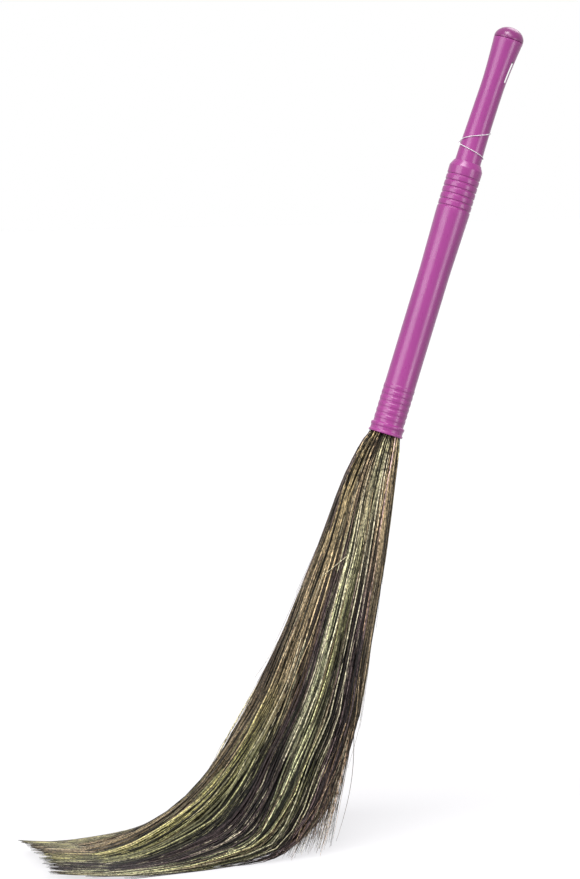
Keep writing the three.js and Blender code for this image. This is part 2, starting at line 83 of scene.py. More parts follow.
def ramp(value: Values, start: Values, length: float) -> Values:
    """Rises from 0 to 1 over a length, and is level before and after it.

    Args:
        value: Where the ramp is read.
        start: Where it begins to rise.
        length: How far it takes to reach 1.

    Returns:
        The ramp's values.
    """
    return np.clip((value - start) / length, 0.0, 1.0)


def blend(first: Values, second: Values, share: Values) -> Values:
    """Mixes two values by the share of the second."""
    return first * (1 - share) + second * share


class Hank(Enum):
    """The four hanks of grass, from the camera's side to the far side."""

    FRONT_OUTER = "front_outer"
    FRONT_INNER = "front_inner"
    BACK_INNER = "back_inner"
    BACK_OUTER = "back_outer"

    @property
    def node(self) -> str:
        """Name of the hank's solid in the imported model."""
        return f"grass_hank_{self.value}"


HANK_EDGES = (-0.4, 0.0, 0.4)
HANK_SLOTS = {
    Hank.FRONT_OUTER: "grass_olive",
    Hank.FRONT_INNER: "grass_tan",
    Hank.BACK_INNER: "grass_dark",
    Hank.BACK_OUTER: "grass_green",
}


# Finishes


@dataclass(frozen=True)
class Noise:
    """A noise over a piece's own coordinates: cells per metre, octaves and the factor on its length."""

    scale: float
    detail: float
    lengthwise: float = 1.0


class NodeTree:
    """The node tree of a material or of the world, with short calls for the nodes that they share."""

    noise_low: float = 0.3
    noise_high: float = 0.7

    def __init__(self, owner: bpy.types.Material | bpy.types.World) -> None:
        """Opens the tree of a new material or world.

        Args:
            owner: The material or world.
        """
        owner.use_nodes = True
        self.owner = owner
        self.nodes = owner.node_tree.nodes
        self.shader = self.nodes.get("Principled BSDF")

    def feed(self, node: bpy.types.Node, inputs: Inputs) -> None:
        """Gives inputs of a node their values, or links them to the sockets that drive them.

        Args:
            node: The node.
            inputs: A value or a socket for each input.
        """
        for key, value in inputs.items():
            if isinstance(value, bpy.types.NodeSocket):
                self.owner.node_tree.links.new(value, node.inputs[key])
            else:
                node.inputs[key].default_value = value

    def add(self, kind: str, inputs: Inputs | None = None, **settings: object) -> bpy.types.Node:
        """Adds a node and sets its properties and inputs.

        Args:
            kind: The node's type name.
            inputs: A value or a socket for each input.
            settings: Properties of the node.

        Returns:
            The new node.
        """
        node = self.nodes.new(kind)
        for key, value in settings.items():
            setattr(node, key, value)
        self.feed(node, inputs or {})
        return node

    def noise(self, form: Noise) -> bpy.types.NodeSocket:
        """Adds a noise.

        Args:
            form: Its cells, octaves and stretch.

        Returns:
            The noise's value, from 0 to 1.
        """
        place = self.add("ShaderNodeTexCoord").outputs["Object"]
        mapping = self.add("ShaderNodeMapping", {"Vector": place, "Scale": (1.0, 1.0, form.lengthwise)})
        inputs = {"Vector": mapping.outputs["Vector"], "Scale": form.scale, "Detail": form.detail}
        return self.add("ShaderNodeTexNoise", inputs).outputs["Fac"]

    def ranged(self, value: bpy.types.NodeSocket, low: float, high: float) -> bpy.types.NodeSocket:
        """Maps the middle of a noise's range onto the values from low to high.

        Args:
            value: The noise's value.
            low: Result where the noise is at its low end.
            high: Result where the noise is at its high end.

        Returns:
            The mapped value.
        """
        ends = {"From Min": self.noise_low, "From Max": self.noise_high, "To Min": low, "To Max": high}
        return self.add("ShaderNodeMapRange", {"Value": value, **ends}).outputs["Result"]

    def mixed(self, share: bpy.types.NodeSocket, first: Colour, second: Colour) -> bpy.types.NodeSocket:
        """Mixes two linear colours by the share of the second."""
        inputs = {"A": (*first, 1.0), "B": (*second, 1.0), "Factor": share}
        return self.add("ShaderNodeMix", inputs, data_type="RGBA").outputs["Result"]

    def scaled(self, colour: bpy.types.NodeSocket, amount: bpy.types.NodeSocket) -> bpy.types.NodeSocket:
        """Makes a colour lighter or darker by a factor."""
        return self.add("ShaderNodeHueSaturation", {"Color": colour, "Value": amount}).outputs["Color"]

    def bump(self, height: bpy.types.NodeSocket, strength: float, depth: float) -> bpy.types.NodeSocket:
        """Turns a height from 0 to 1 into a normal, by the bump's strength and its relief in metres."""
        inputs = {"Strength": strength, "Distance": depth, "Height": height}
        return self.add("ShaderNodeBump", inputs).outputs["Normal"]


@dataclass(frozen=True)
class Finish:
    """A finish mottled between two colours: its dullness, its relief and other inputs of its shader."""

    name: str
    colour: Colour
    shade: Colour
    mottling: Noise
    dullness: tuple[float, float]
    scuffs: Noise | None = None
    texture: Noise | None = None
    relief: tuple[float, float] = (0.0, 0.0)
    inputs: tuple[tuple[str, float], ...] = ()

    def material(self) -> bpy.types.Material:
        """Builds the finish's material.

        Returns:
            The material.
        """
        tree = NodeTree(bpy.data.materials.new(self.name))
        mottling = tree.noise(self.mottling)
        scuffs = tree.noise(self.scuffs) if self.scuffs else mottling
        colour = tree.mixed(tree.ranged(mottling, 0.0, 1.0), self.colour, self.shade)
        tree.feed(tree.shader, {"Base Color": colour, "Roughness": tree.ranged(scuffs, *self.dullness)})
        if self.texture:
            tree.feed(tree.shader, {"Normal": tree.bump(tree.noise(self.texture), *self.relief)})
        tree.feed(tree.shader, dict(self.inputs))
        return tree.owner


def moulded_plastic(name: str, colour: Colour, shade: Colour) -> Finish:
    """Satin injection-moulded plastic: faint flow mottling, scuffs and a fine tool texture.

    Args:
        name: The material's name.
        colour: Its linear colour.
        shade: The linear colour that it is mottled with.

    Returns:
        The plastic's finish.
    """
    return Finish(
        name,
        colour,
        shade,
        mottling=Noise(28.0, 3.0, 0.35),
        dullness=(0.24, 0.33),
        scuffs=Noise(160.0, 6.0, 0.25),
        texture=Noise(2600.0, 2.0),
        relief=(0.03, 0.00004),
        inputs=(("Specular IOR Level", 0.6),),
    )


WHITE_THREAD = Finish(
    "white_thread",
    linear(250, 248, 250),
    linear(222, 214, 224),
    mottling=Noise(1800.0, 4.0),
    dullness=(0.6, 0.85),
    inputs=(("Sheen Weight", 0.3),),
)
GALVANISED_WIRE = Finish(
    "galvanised_wire",
    linear(168, 172, 176),
    linear(118, 122, 126),
    mottling=Noise(700.0, 3.0),
    dullness=(0.28, 0.5),
    inputs=(("Metallic", 1.0),),
)
WOOD_GRAIN = Noise(900.0, 5.0, 0.06)
SPLIT_WOOD = Finish(
    "split_wood",
    linear(196, 154, 100),
    linear(132, 92, 54),
    mottling=WOOD_GRAIN,
    dullness=(0.65, 0.85),
    texture=WOOD_GRAIN,
    relief=(0.3, 0.0002),
)


@dataclass(frozen=True)
class DriedGrass:
    """Dried grass stalks: each stalk's own colour, streaked along its fibres, with a dull waxy skin."""

    name: str = "dried_grass"
    attribute: str = "stalk_colour"
    joints: Noise = Noise(480.0, 2.0, 0.6)
    wax: Noise = Noise(900.0, 2.0, 0.4)
    brightness: tuple[float, float] = (0.1, 2.1)
    dullness: tuple[float, float] = (0.42, 0.66)
    relief: tuple[float, float] = (0.25, 0.00015)
    specular: float = 0.22

    def material(self) -> bpy.types.Material:
        """Builds the grass's material.

        Returns:
            The material.
        """
        tree = NodeTree(bpy.data.materials.new(self.name))
        stalk = tree.add("ShaderNodeVertexColor", layer_name=self.attribute).outputs["Color"]
        joints = tree.noise(self.joints)
        inputs = {
            "Base Color": tree.scaled(stalk, tree.ranged(joints, *self.brightness)),
            "Roughness": tree.ranged(tree.noise(self.wax), *self.dullness),
            "Normal": tree.bump(joints, *self.relief),
            "Specular IOR Level": self.specular,
        }
        tree.feed(tree.shader, inputs)
        return tree.owner


# Meshes


def linked(name: str, data: bpy.types.ID) -> bpy.types.Object:
    """Makes an object and links it to the scene.

    Args:
        name: The object's name.
        data: Its mesh, camera or lamp.

    Returns:
        The new object.
    """
    obj = bpy.data.objects.new(name, data)
    bpy.context.scene.collection.objects.link(obj)
    return obj


def smooth(mesh: bpy.types.Mesh) -> None:
    """Shades a mesh smooth, but for its corners over the sharp angle."""
    mesh.shade_smooth()
    mesh.set_sharp_from_angle(angle=SHARP_ANGLE)


def add_mesh(
    name: str, points: np.ndarray, faces: list[Face], material: bpy.types.Material
) -> bpy.types.Object:
    """Makes a smooth-shaded object.

    Args:
        name: The object's name.
        points: Vertices in metres, in the row frame.
        faces: Vertex numbers of each face.
        material: The object's material.

    Returns:
        The new object, linked to the scene.
    """
    mesh = bpy.data.meshes.new(name)
    mesh.from_pydata(points.tolist(), [], faces)
    mesh.materials.append(material)
    smooth(mesh)
    return linked(name, mesh)


def rounded(profile: Profile, radius: float, steps: int = 3, side_share: float = 0.45) -> Profile:
    """Rounds the corners of an open profile.

    Args:
        profile: Corners as radius and height pairs.
        radius: How far along its sides each corner is taken off, where they are long enough.
        steps: Segments of each rounding.
        side_share: The most of a side that a corner takes off.

    Returns:
        The profile with its corners rounded.
    """
    points = [np.array(corner, float) for corner in profile]
    result = [profile[0]]
    for before, corner, after in zip(points, points[1:], points[2:]):
        sides = (before - corner, after - corner)
        lengths = [np.linalg.norm(side) for side in sides]
        reach = min(radius, *(length * side_share for length in lengths))
        start, end = (corner + side / max(length, TINY) * reach for side, length in zip(sides, lengths))
        for i in range(steps + 1):
            share = i / steps
            place = start * (1 - share) ** 2 + corner * 2 * share * (1 - share) + end * share**2
            result.append((float(place[0]), float(place[1])))
    result.append(profile[-1])
    return result


def relief(radius: float, height: float, depth: float, width: float, flat: float) -> Profile:
    """Corners of a ring or groove round a wall, going up.

    Args:
        radius: Radius of the wall.
        height: Height of its middle.
        depth: How far it stands out, or stands in where it is below 0.
        width: Its width at the wall.
        flat: Its width at its full depth.

    Returns:
        The corners.
    """
    level = radius + depth
    wall = [(radius, height - width / 2), (radius, height + width / 2)]
    return [wall[0], (level, height - flat / 2), (level, height + flat / 2), wall[1]]


def circle(radius: float, height: float, facets: int, middle: float = 0.0) -> list[Point]:
    """Points round the handle.

    Args:
        radius: The circle's radius.
        height: Its height over the sleeve's mouth.
        facets: Number of points.
        middle: How far it stands off the handle's axis.

    Returns:
        The points in the handle's frame.
    """
    angles = [i / facets * math.tau for i in range(facets)]
    return [(middle + math.cos(angle) * radius, math.sin(angle) * radius, height) for angle in angles]


def unit(vectors: np.ndarray) -> np.ndarray:
    """Vectors brought to a length of 1."""
    return vectors / np.maximum(np.linalg.norm(vectors, axis=-1, keepdims=True), TINY)


def cross_axes(lines: np.ndarray, side: Point) -> tuple[np.ndarray, np.ndarray]:
    """Two directions square to lines at each of their points.

    Args:
        lines: Points of the lines, along the last axis but one.
        side: A direction that the first of the two is square to as well.

    Returns:
        The two directions.
    """
    tangents = unit(np.gradient(lines, axis=-2))
    first = unit(np.cross(tangents, side))
    return first, np.cross(tangents, first)


def tubes(lines: np.ndarray, radii: np.ndarray, sides: int, axes: tuple[np.ndarray, np.ndarray]) -> np.ndarray:
    """Points of the rings round lines.

    Args:
        lines: Points of the lines, along the last axis but one.
        radii: The rings' radii.
        sides: Points of each ring.
        axes: Two directions square to the lines.

    Returns:
        The rings' points.
    """
    angles = np.arange(sides)[:, None] / sides * math.tau
    first, second = (axis[..., None, :] for axis in axes)
    rings = np.cos(angles) * first + np.sin(angles) * second
    return lines[..., None, :] + rings * np.asarray(radii)[..., None, None]


def ring_faces(rings: int, count: int, closed: bool) -> list[Face]:
    """Quads between neighbouring rings of equal count.

    Args:
        rings: Number of rings.
        count: Vertices of each ring.
        closed: Whether the last ring joins the first.

    Returns:
        The faces' vertex numbers.
    """
    faces = []
    for i in range(rings if closed else rings - 1):
        following = (i + 1) % rings
        for j in range(count):
            k = (j + 1) % count
            faces.append((i * count + j, i * count + k, following * count + k, following * count + j))
    return faces


@dataclass(frozen=True)
class HandleAxis:
    """The handle's own frame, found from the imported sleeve."""

    mouth: Vector
    ring_depth: ClassVar[float] = 0.00005

    @classmethod
    def from_sleeve(cls) -> "HandleAxis":
        """Finds the middle of the sleeve's mouth.

        Returns:
            The handle's frame.
        """
        vertices = np.array([v.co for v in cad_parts["socket_sleeve"].data.vertices])
        heights = vertices @ np.array(cls.up_vector())
        ring = vertices[heights < heights.min() + cls.ring_depth]
        return cls(Vector(ring.mean(axis=0)))

    @staticmethod
    def up_vector() -> Vector:
        """The handle's direction in the row frame."""
        return Vector((math.sin(HANDLE_LEAN), 0.0, math.cos(HANDLE_LEAN)))

    @staticmethod
    def side_vector() -> Vector:
        """The handle's own +X in the row frame."""
        return Vector((math.cos(HANDLE_LEAN), 0.0, -math.sin(HANDLE_LEAN)))

    @property
    def foot(self) -> Vector:
        """The point of the floor under the mouth."""
        return Vector((self.mouth.x, self.mouth.y, 0.0))

    def place(self, points: np.ndarray) -> np.ndarray:
        """Moves points from the handle's frame to the row frame.

        Args:
            points: Places in millimetres along the handle's own axes.

        Returns:
            The places in metres in the row frame.
        """
        across = np.array((0.0, 1.0, 0.0))
        axes = np.array([self.side_vector(), across, self.up_vector()])
        return np.array(self.mouth) + np.asarray(points, float) @ axes * MM


# Handle


def attach(obj: bpy.types.Object, slot: str, *nodes: str) -> bpy.types.Object:
    """Rides a piece on the broom and hides the solids that it stands for.

    Args:
        obj: The piece.
        slot: Name of a material slot; not used.
        nodes: Solids that the piece stands for.

    Returns:
        The piece.
    """
    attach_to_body(obj, ROOT)
    if nodes:
        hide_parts(*nodes)
    return obj


class HandlePiece:
    """A piece of the handle. Each kind names its object, its slot and its solid, and lays out its surface."""

    name: ClassVar[str]
    slot: ClassVar[str]
    node: ClassVar[str]

    def surface(self) -> Surface:
        """The piece's points in the handle's frame, and its faces."""
        raise NotImplementedError

    def cut(self, piece: bpy.types.Object, axis: HandleAxis) -> None:
        """Cuts the piece's openings, where it has any."""

    def build(self, axis: HandleAxis, material: bpy.types.Material) -> bpy.types.Object:
        """Builds the piece.

        Args:
            axis: The handle's frame.
            material: The piece's finish.

        Returns:
            The piece, which stands for its solid.
        """
        points, faces = self.surface()
        piece = add_mesh(self.name, axis.place(points), faces, material)
        self.cut(piece, axis)
        return attach(piece, self.slot, self.node)


@dataclass(frozen=True)
class SocketSleeve(HandlePiece):
    """Moulded sleeve with a lip, bead and rings at its mouth and lock grooves under its shoulder."""

    name: ClassVar[str] = "sleeve_moulding"
    slot: ClassVar[str] = "handle_plastic"
    node: ClassVar[str] = "socket_sleeve"
    length: float = 315.0
    radius: float = 17.2
    top_radius: float = 18.7
    wall: float = 1.7
    flare_start: float = 190.0
    flare_end: float = 257.0
    shoulder: float = 6.6
    neck_bore: float = 14.8
    neck_rim: float = 0.6
    neck_floor: float = 252.7
    chamfer: float = 1.6
    lip_radius: float = 19.4
    lip_start: float = 2.2
    lip_length: float = 2.6
    lip_round: float = 0.5
    lip_groove: float = 4.4
    lip_groove_depth: float = 1.0
    bead_radius: float = 19.1
    bead_length: float = 4.6
    ring_count: int = 6
    ring_start: float = 20.0
    ring_pitch: float = 6.9
    ring_height: float = 0.38
    ring_width: float = 4.6
    ring_flat: float = 3.4
    groove_count: int = 6
    groove_start: float = 262.6
    groove_pitch: float = 7.1
    groove_width: float = 2.2
    groove_flat: float = 0.88
    groove_depth: float = 0.8
    corner_round: float = 0.45
    facets: int = 112

    def outer_radius(self, height: float) -> float:
        """Radius of the plain wall at a height."""
        share = ramp(height, self.flare_start, self.flare_end - self.flare_start)
        return self.radius + (self.top_radius - self.radius) * share

    def mouth_profile(self) -> Profile:
        """Lip, groove, bead and rings, going up the outside.

        Returns:
            The corners as radius and height pairs.
        """
        rim_end = self.lip_start + self.lip_length
        groove_end = rim_end + self.lip_groove
        bead_end = groove_end + self.bead_length
        profile = [
            (self.radius - self.wall + self.chamfer, self.lip_start),
            (self.lip_radius - self.lip_round, self.lip_start),
            (self.lip_radius, self.lip_start + self.lip_round),
            (self.lip_radius, rim_end - self.lip_round),
            (self.lip_radius - self.lip_groove_depth, rim_end + self.lip_round),
            (self.lip_radius - self.lip_groove_depth, groove_end - self.lip_round),
            (self.bead_radius, groove_end + self.bead_length / 4),
            (self.bead_radius, bead_end - self.bead_length / 4),
            (self.radius, bead_end),
        ]
        for i in range(self.ring_count):
            height = self.ring_start + i * self.ring_pitch
            profile += relief(self.radius, height, self.ring_height, self.ring_width, self.ring_flat)
        return profile

    def neck_profile(self) -> Profile:
        """Flare, lock grooves and shoulder, then down the stepped bore to the mouth.

        Returns:
            The corners as radius and height pairs.
        """
        profile = [(self.radius, self.flare_start), (self.top_radius, self.flare_end)]
        for i in range(self.groove_count):
            height = self.groove_start + i * self.groove_pitch
            radius = self.outer_radius(height)
            profile += relief(radius, height, -self.groove_depth, self.groove_width, self.groove_flat)
        bore = self.radius - self.wall
        return [
            *profile,
            (self.top_radius, self.length - self.shoulder),
            (self.neck_bore + self.neck_rim, self.length),
            (self.neck_bore, self.length),
            (self.neck_bore, self.neck_floor),
            (bore, self.neck_floor),
            (bore, self.lip_start + self.chamfer * 2),
            (bore + self.chamfer, self.lip_start),
        ]

    def surface(self) -> Surface:
        """The sleeve's closed profile, turned round the handle's axis.

        Returns:
            The sleeve's points and faces.
        """
        profile = rounded([*self.mouth_profile(), *self.neck_profile()], self.corner_round)[:-1]
        rings = [circle(radius, height, self.facets) for radius, height in profile]
        return np.array(rings).reshape(-1, 3), ring_faces(len(rings), self.facets, True)


@dataclass(frozen=True)
class GripForm:
    """Outline of the grip over the sleeve's neck, which its tube, cap and thread share."""

    neck_height: float = 315.0
    foot_depth: float = 62.0
    foot_radius: float = 14.5
    waist_radius: float = 13.2
    top_radius: float = 16.6
    waist_rise: float = 90.0
    top_rise: float = 143.0
    bow: float = 3.9
    bow_start: float = 15.0
    bow_growth: float = 1.4
    flare_growth: float = 1.5
    wall: float = 1.8

    def radius(self, rise: float) -> float:
        """Outer radius at a rise above the neck.

        Args:
            rise: Millimetres above the neck.

        Returns:
            The radius there.
        """
        if rise <= self.waist_rise:
            share = math.sin(ramp(rise, 0.0, self.waist_rise) * math.pi / 2)
            return self.foot_radius + (self.waist_radius - self.foot_radius) * share
        share = (rise - self.waist_rise) / (self.top_rise - self.waist_rise)
        return self.waist_radius + (self.top_radius - self.waist_radius) * share**self.flare_growth

    def centre(self, rise: float) -> float:
        """Sideways bow of the grip's middle at a rise above the neck."""
        return self.bow * ramp(rise, self.bow_start, self.top_rise - self.bow_start) ** self.bow_growth

    def ring(self, rise: float, radius: float, height: float, facets: int) -> list[Point]:
        """Points round the grip, off the axis by the bow at a rise above the neck."""
        return circle(radius, height, facets, self.centre(rise))


@dataclass(frozen=True)
class GripTube(HandlePiece):
    """Waisted upper tube, with the hanging slot cut through beside its wall."""

    name: ClassVar[str] = "grip_moulding"
    slot: ClassVar[str] = "handle_plastic"
    node: ClassVar[str] = "grip_tube"
    form: GripForm
    facets: int = 96
    steps: int = 34
    rim_round: float = 0.5
    rim_shares: tuple[float, ...] = (0.0, 0.3, 0.7, 1.0)
    slot_length: float = 25.0
    slot_width: float = 1.8
    slot_bar: float = 1.3
    slot_rise: float = 108.0
    slot_facets: int = 14
    slot_bends: int = 10
    cutter_share: float = 1.4

    def surface(self) -> Surface:
        """Rings up the outside, over the rim and down the inside.

        Returns:
            The grip's points and faces.
        """
        form = self.form
        rises = [-form.foot_depth, 0.0, *(form.top_rise * i / self.steps for i in range(1, self.steps))]
        rings = [form.ring(rise, form.radius(rise), form.neck_height + rise, self.facets) for rise in rises]
        top = form.neck_height + form.top_rise
        for share in self.rim_shares:
            radius = form.top_radius - self.rim_round * (1 - math.cos(share * math.pi / 2))
            height = top - self.rim_round * (1 - math.sin(share * math.pi / 2))
            rings.append(form.ring(form.top_rise, radius, height, self.facets))
        for rise in (form.top_rise, *reversed(rises)):
            bore = form.radius(rise) - form.wall
            rings.append(form.ring(rise, bore, form.neck_height + rise, self.facets))
        return np.array(rings).reshape(-1, 3), ring_faces(len(rings), self.facets, True)

    def slot_outline(self) -> Profile:
        """Outline of the slot: two round ends and the points between them where its sides bend.

        Returns:
            Its points along the wall's radius and along the handle, from the slot's middle.
        """
        radius = self.slot_width / 2
        half = self.slot_length / 2 - radius
        outline = []
        for start, shift in ((0.0, half), (math.pi, -half)):
            for i in range(self.slot_facets + 1):
                angle = start + i / self.slot_facets * math.pi
                outline.append((math.cos(angle) * radius, shift + math.sin(angle) * radius))
            for i in range(1, self.slot_bends):
                outline.append((-math.copysign(radius, shift), shift * (1 - 2 * i / self.slot_bends)))
        return outline

    def slot_points(self) -> np.ndarray:
        """Corners of the slot's cutter: a rod through the grip that bends as the wall beside it does.

        Returns:
            The rod's near corners and then its far ones, in the handle's frame.
        """
        form = self.form
        reach = form.top_radius * self.cutter_share
        turn = Matrix.Rotation(-VIEW_TURN, 3, "Z")
        points = []
        for y in (-reach, reach):
            for x, z in self.slot_outline():
                rise = self.slot_rise + z
                offset = form.radius(rise) - self.slot_bar - self.slot_width / 2
                turned = turn @ Vector((x + offset, y, 0.0))
                points.append((turned.x + form.centre(rise), turned.y, form.neck_height + rise))
        return np.array(points)

    def cut(self, piece: bpy.types.Object, axis: HandleAxis) -> None:
        """Cuts the slot.

        Args:
            piece: The grip.
            axis: The handle's frame.
        """
        rod = self.slot_points()
        count = len(rod) // 2
        ends = [tuple(range(count)), tuple(reversed(range(count, count * 2)))]
        sides = [(i, i + count, (i + 1) % count + count, (i + 1) % count) for i in range(count)]
        cutter = add_mesh("slot_cutter", axis.place(rod), [*ends, *sides], piece.data.materials[0])
        modifier = piece.modifiers.new("hanging_slot", "BOOLEAN")
        modifier.operation = "DIFFERENCE"
        modifier.solver = "EXACT"
        modifier.object = cutter
        bpy.context.view_layer.update()
        shaped = bpy.data.meshes.new_from_object(piece.evaluated_get(bpy.context.evaluated_depsgraph_get()))
        piece.modifiers.clear()
        piece.data = shaped
        bpy.data.objects.remove(cutter)
        smooth(shaped)


@dataclass(frozen=True)
class EndCap(HandlePiece):
    """Domed plug with a stepped seam where it meets the grip."""

    name: ClassVar[str] = "cap_moulding"
    slot: ClassVar[str] = "cap_plastic"
    node: ClassVar[str] = "end_cap"
    form: GripForm
    height: float = 14.0
    wall: float = 2.0
    skirt: float = 11.0
    seam: float = 0.7
    facets: int = 96
    dome_steps: int = 18

    def dome(self, radius: float, base: float, rise: float) -> Profile:
        """Radius and height pairs up a dome.

        Args:
            radius: Its radius at its base.
            base: Height of its base.
            rise: Its own height.

        Returns:
            The pairs, without the pole.
        """
        angles = [i / self.dome_steps * math.pi / 2 for i in range(self.dome_steps)]
        return [(radius * math.cos(angle), base + rise * math.sin(angle)) for angle in angles]

    def surface(self) -> Surface:
        """Rings down the inside of the dome and skirt and up the outside, with a pole at both ends.

        Returns:
            The cap's points and faces.
        """
        form = self.form
        rim = form.neck_height + form.top_rise + FIT_GAP
        foot_rise = form.top_rise - self.skirt
        foot = form.neck_height + foot_rise
        plug = form.top_radius - form.wall - FIT_GAP
        plug_foot = form.radius(foot_rise) - form.wall - FIT_GAP * 2
        inside = self.dome(plug - self.wall, rim, self.height - self.wall)[::-1]
        skirt = [(plug_foot - self.wall, foot), (plug_foot, foot)]
        edge = form.top_radius
        seam = [(plug, rim), (edge - self.seam, rim), (edge - self.seam / 4, rim + self.seam / 3)]
        outside = self.dome(edge, rim + self.seam, self.height - self.seam)
        rings = []
        for rise, profile in ((form.top_rise, inside), (foot_rise, skirt), (form.top_rise, seam + outside)):
            rings += [form.ring(rise, radius, height, self.facets) for radius, height in profile]
        points = [point for ring in rings for point in ring]
        faces = ring_faces(len(rings), self.facets, False)
        last, poles = len(points) - self.facets, len(points)
        for j in range(self.facets):
            k = (j + 1) % self.facets
            faces += [(poles, k, j), (poles + 1, last + j, last + k)]
        middle = form.centre(form.top_rise)
        points += [(middle, 0.0, rim + self.height - self.wall), (middle, 0.0, rim + self.height)]
        return np.array(points), faces


@dataclass(frozen=True)
class WoundThread(HandlePiece):
    """Two-ply thread wound twice round the grip and knotted behind it."""

    name: ClassVar[str] = "grip_thread_plies"
    slot: ClassVar[str] = "thread"
    node: ClassVar[str] = "grip_thread"
    form: GripForm
    diameter: float = 1.0
    heights: tuple[float, ...] = (28.8, 39.3, 21.2, 8.2, 18.3, 28.8)
    half_turns: tuple[float, ...] = (-0.5, 0.0, 1.0, 2.0, 3.0, 3.5)
    bend_ease: float = 1 / 16
    crossing: float = 3.086
    crossing_span: float = 1 / 3
    crossing_gap: float = 0.6
    twist_pitch: float = 2.4
    samples: int = 620
    ply_sides: int = 7
    ply_shift: float = 0.8
    ply_swell: float = 1.15
    knot_size: float = 1.5
    knot_depth: float = 0.75
    knot_samples: int = 90
    tail_length: float = 9.0
    tail_start: float = 1.2
    tail_spread: float = 0.5
    tail_drop: float = 0.8
    tail_curve: float = 1.6
    tail_lift: float = 0.6
    tail_settle: float = 0.45
    tail_samples: int = 30

    def rise(self, turn: float) -> float:
        """Height of the thread over the neck at a turn, in half turns, eased at its bends."""
        near = [turn - self.bend_ease, turn + self.bend_ease]
        return float(np.interp(near, self.half_turns, self.heights).mean())

    def wound_point(self, turn: float) -> Point:
        """Place of the thread's middle at a turn, in the handle's frame.

        Args:
            turn: Half turns round the grip, from the camera's right.

        Returns:
            The place.
        """
        rise = self.rise(turn)
        nearness = 1 - ramp(abs(turn - self.crossing), 0.0, self.crossing_span)
        lift = (self.diameter + self.crossing_gap) * math.sin(nearness * math.pi / 2) ** 2
        radius = self.form.radius(rise) + FIT_GAP + self.diameter / 2 + lift
        angle = -VIEW_TURN - turn * math.pi
        middle = self.form.centre(rise)
        return (middle + math.cos(angle) * radius, math.sin(angle) * radius, self.form.neck_height + rise)

    def lines(self) -> list[np.ndarray]:
        """Middle lines of the wound thread, of its knot and of its two loose tails.

        Returns:
            The points of each line, in the handle's frame.
        """
        start, end = self.half_turns[0], self.half_turns[-1]
        wound = np.array([self.wound_point(turn) for turn in np.linspace(start, end, self.samples)])
        behind = wound[0]
        up = np.array((0.0, 0.0, 1.0))
        outward = unit((behind - (self.form.centre(self.rise(start)), 0.0, 0.0)) * (1.0, 1.0, 0.0))
        along = np.cross(up, outward)
        angle = np.arange(self.knot_samples)[:, None] / self.knot_samples * math.tau
        wide = (np.sin(angle) + 2 * np.sin(2 * angle)) / 3
        high = (np.cos(angle) - 2 * np.cos(2 * angle)) / 3
        deep = self.knot_depth - np.sin(3 * angle) / 4
        knot = behind + (along * wide + up * high + outward * deep) * self.knot_size
        share = np.linspace(0.0, 1.0, self.tail_samples)[:, None]
        sweep = along * (self.tail_start + share * self.tail_length * self.tail_spread)
        drop = up * share**self.tail_curve * self.tail_length * self.tail_drop
        hang = behind - drop + outward * (self.tail_lift - share * self.tail_settle)
        return [wound, knot, hang + sweep, hang - sweep]

    def ply(self, line: np.ndarray, phase: float) -> Surface:
        """One of the thread's two plies along a line.

        Args:
            line: The thread's middle line.
            phase: The ply's angle round it at its start.

        Returns:
            The ply's points and faces.
        """
        first, second = cross_axes(line, (0.0, 0.0, 1.0))
        lengths = np.concatenate([[0.0], np.cumsum(np.linalg.norm(np.diff(line, axis=0), axis=1))])
        angles = (phase + lengths / self.twist_pitch * math.tau)[:, None]
        strand = self.diameter / 4
        middle = line + strand * self.ply_shift * (np.cos(angles) * first + np.sin(angles) * second)
        points = tubes(middle, strand * self.ply_swell, self.ply_sides, (first, second)).reshape(-1, 3)
        ends = [tuple(reversed(range(self.ply_sides))), tuple(range(len(points) - self.ply_sides, len(points)))]
        return points, [*ring_faces(len(line), self.ply_sides, False), *ends]

    def surface(self) -> Surface:
        """The two plies along each of the thread's lines.

        Returns:
            The plies' points and faces.
        """
        points, faces = [], []
        for line in self.lines():
            for phase in (0.0, math.pi):
                ply_points, ply_faces = self.ply(line, phase)
                faces += [tuple(len(points) + corner for corner in face) for face in ply_faces]
                points.extend(ply_points)
        return np.array(points), faces


@dataclass(frozen=True)
class HiddenCore:
    """Wire ties and wedge inside the sleeve, which keep their solids."""

    ties: tuple[str, ...] = ("tie_wire_lower", "tie_wire_upper")
    wedge: str = "stalk_wedge"

    def dress(self, wire: bpy.types.Material, wood: bpy.types.Material) -> None:
        """Gives the hidden solids their finishes.

        Args:
            wire: Finish of the ties.
            wood: Finish of the wedge.
        """
        for name in self.ties:
            self.repaint(name, wire)
        self.repaint(self.wedge, wood)

    @staticmethod
    def repaint(name: str, material: bpy.types.Material) -> None:
        """Puts one material on every slot of a solid."""
        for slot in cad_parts[name].material_slots:
            slot.material = material


# Grass


@dataclass(frozen=True)
class Station:
    """One section of the grass head: its low and high edges in the XZ plane, in millimetres from the point of
    the floor under the mouth, and its form.
    """

    low: tuple[float, float]
    high: tuple[float, float]
    half_width: float
    square: float = 0.0
    turn: float = 0.0
    side_drop: float = 0.0
    low_rounding: float = 0.0
    high_rounding: float = 0.0
    skew: float = 0.0

    def values(self) -> tuple[float, ...]:
        """The section's numbers, in the order that HeadForm reads them."""
        form = (self.half_width, self.square, self.turn, self.side_drop, self.low_rounding, self.high_rounding)
        return (*self.low, *self.high, *form, self.skew)


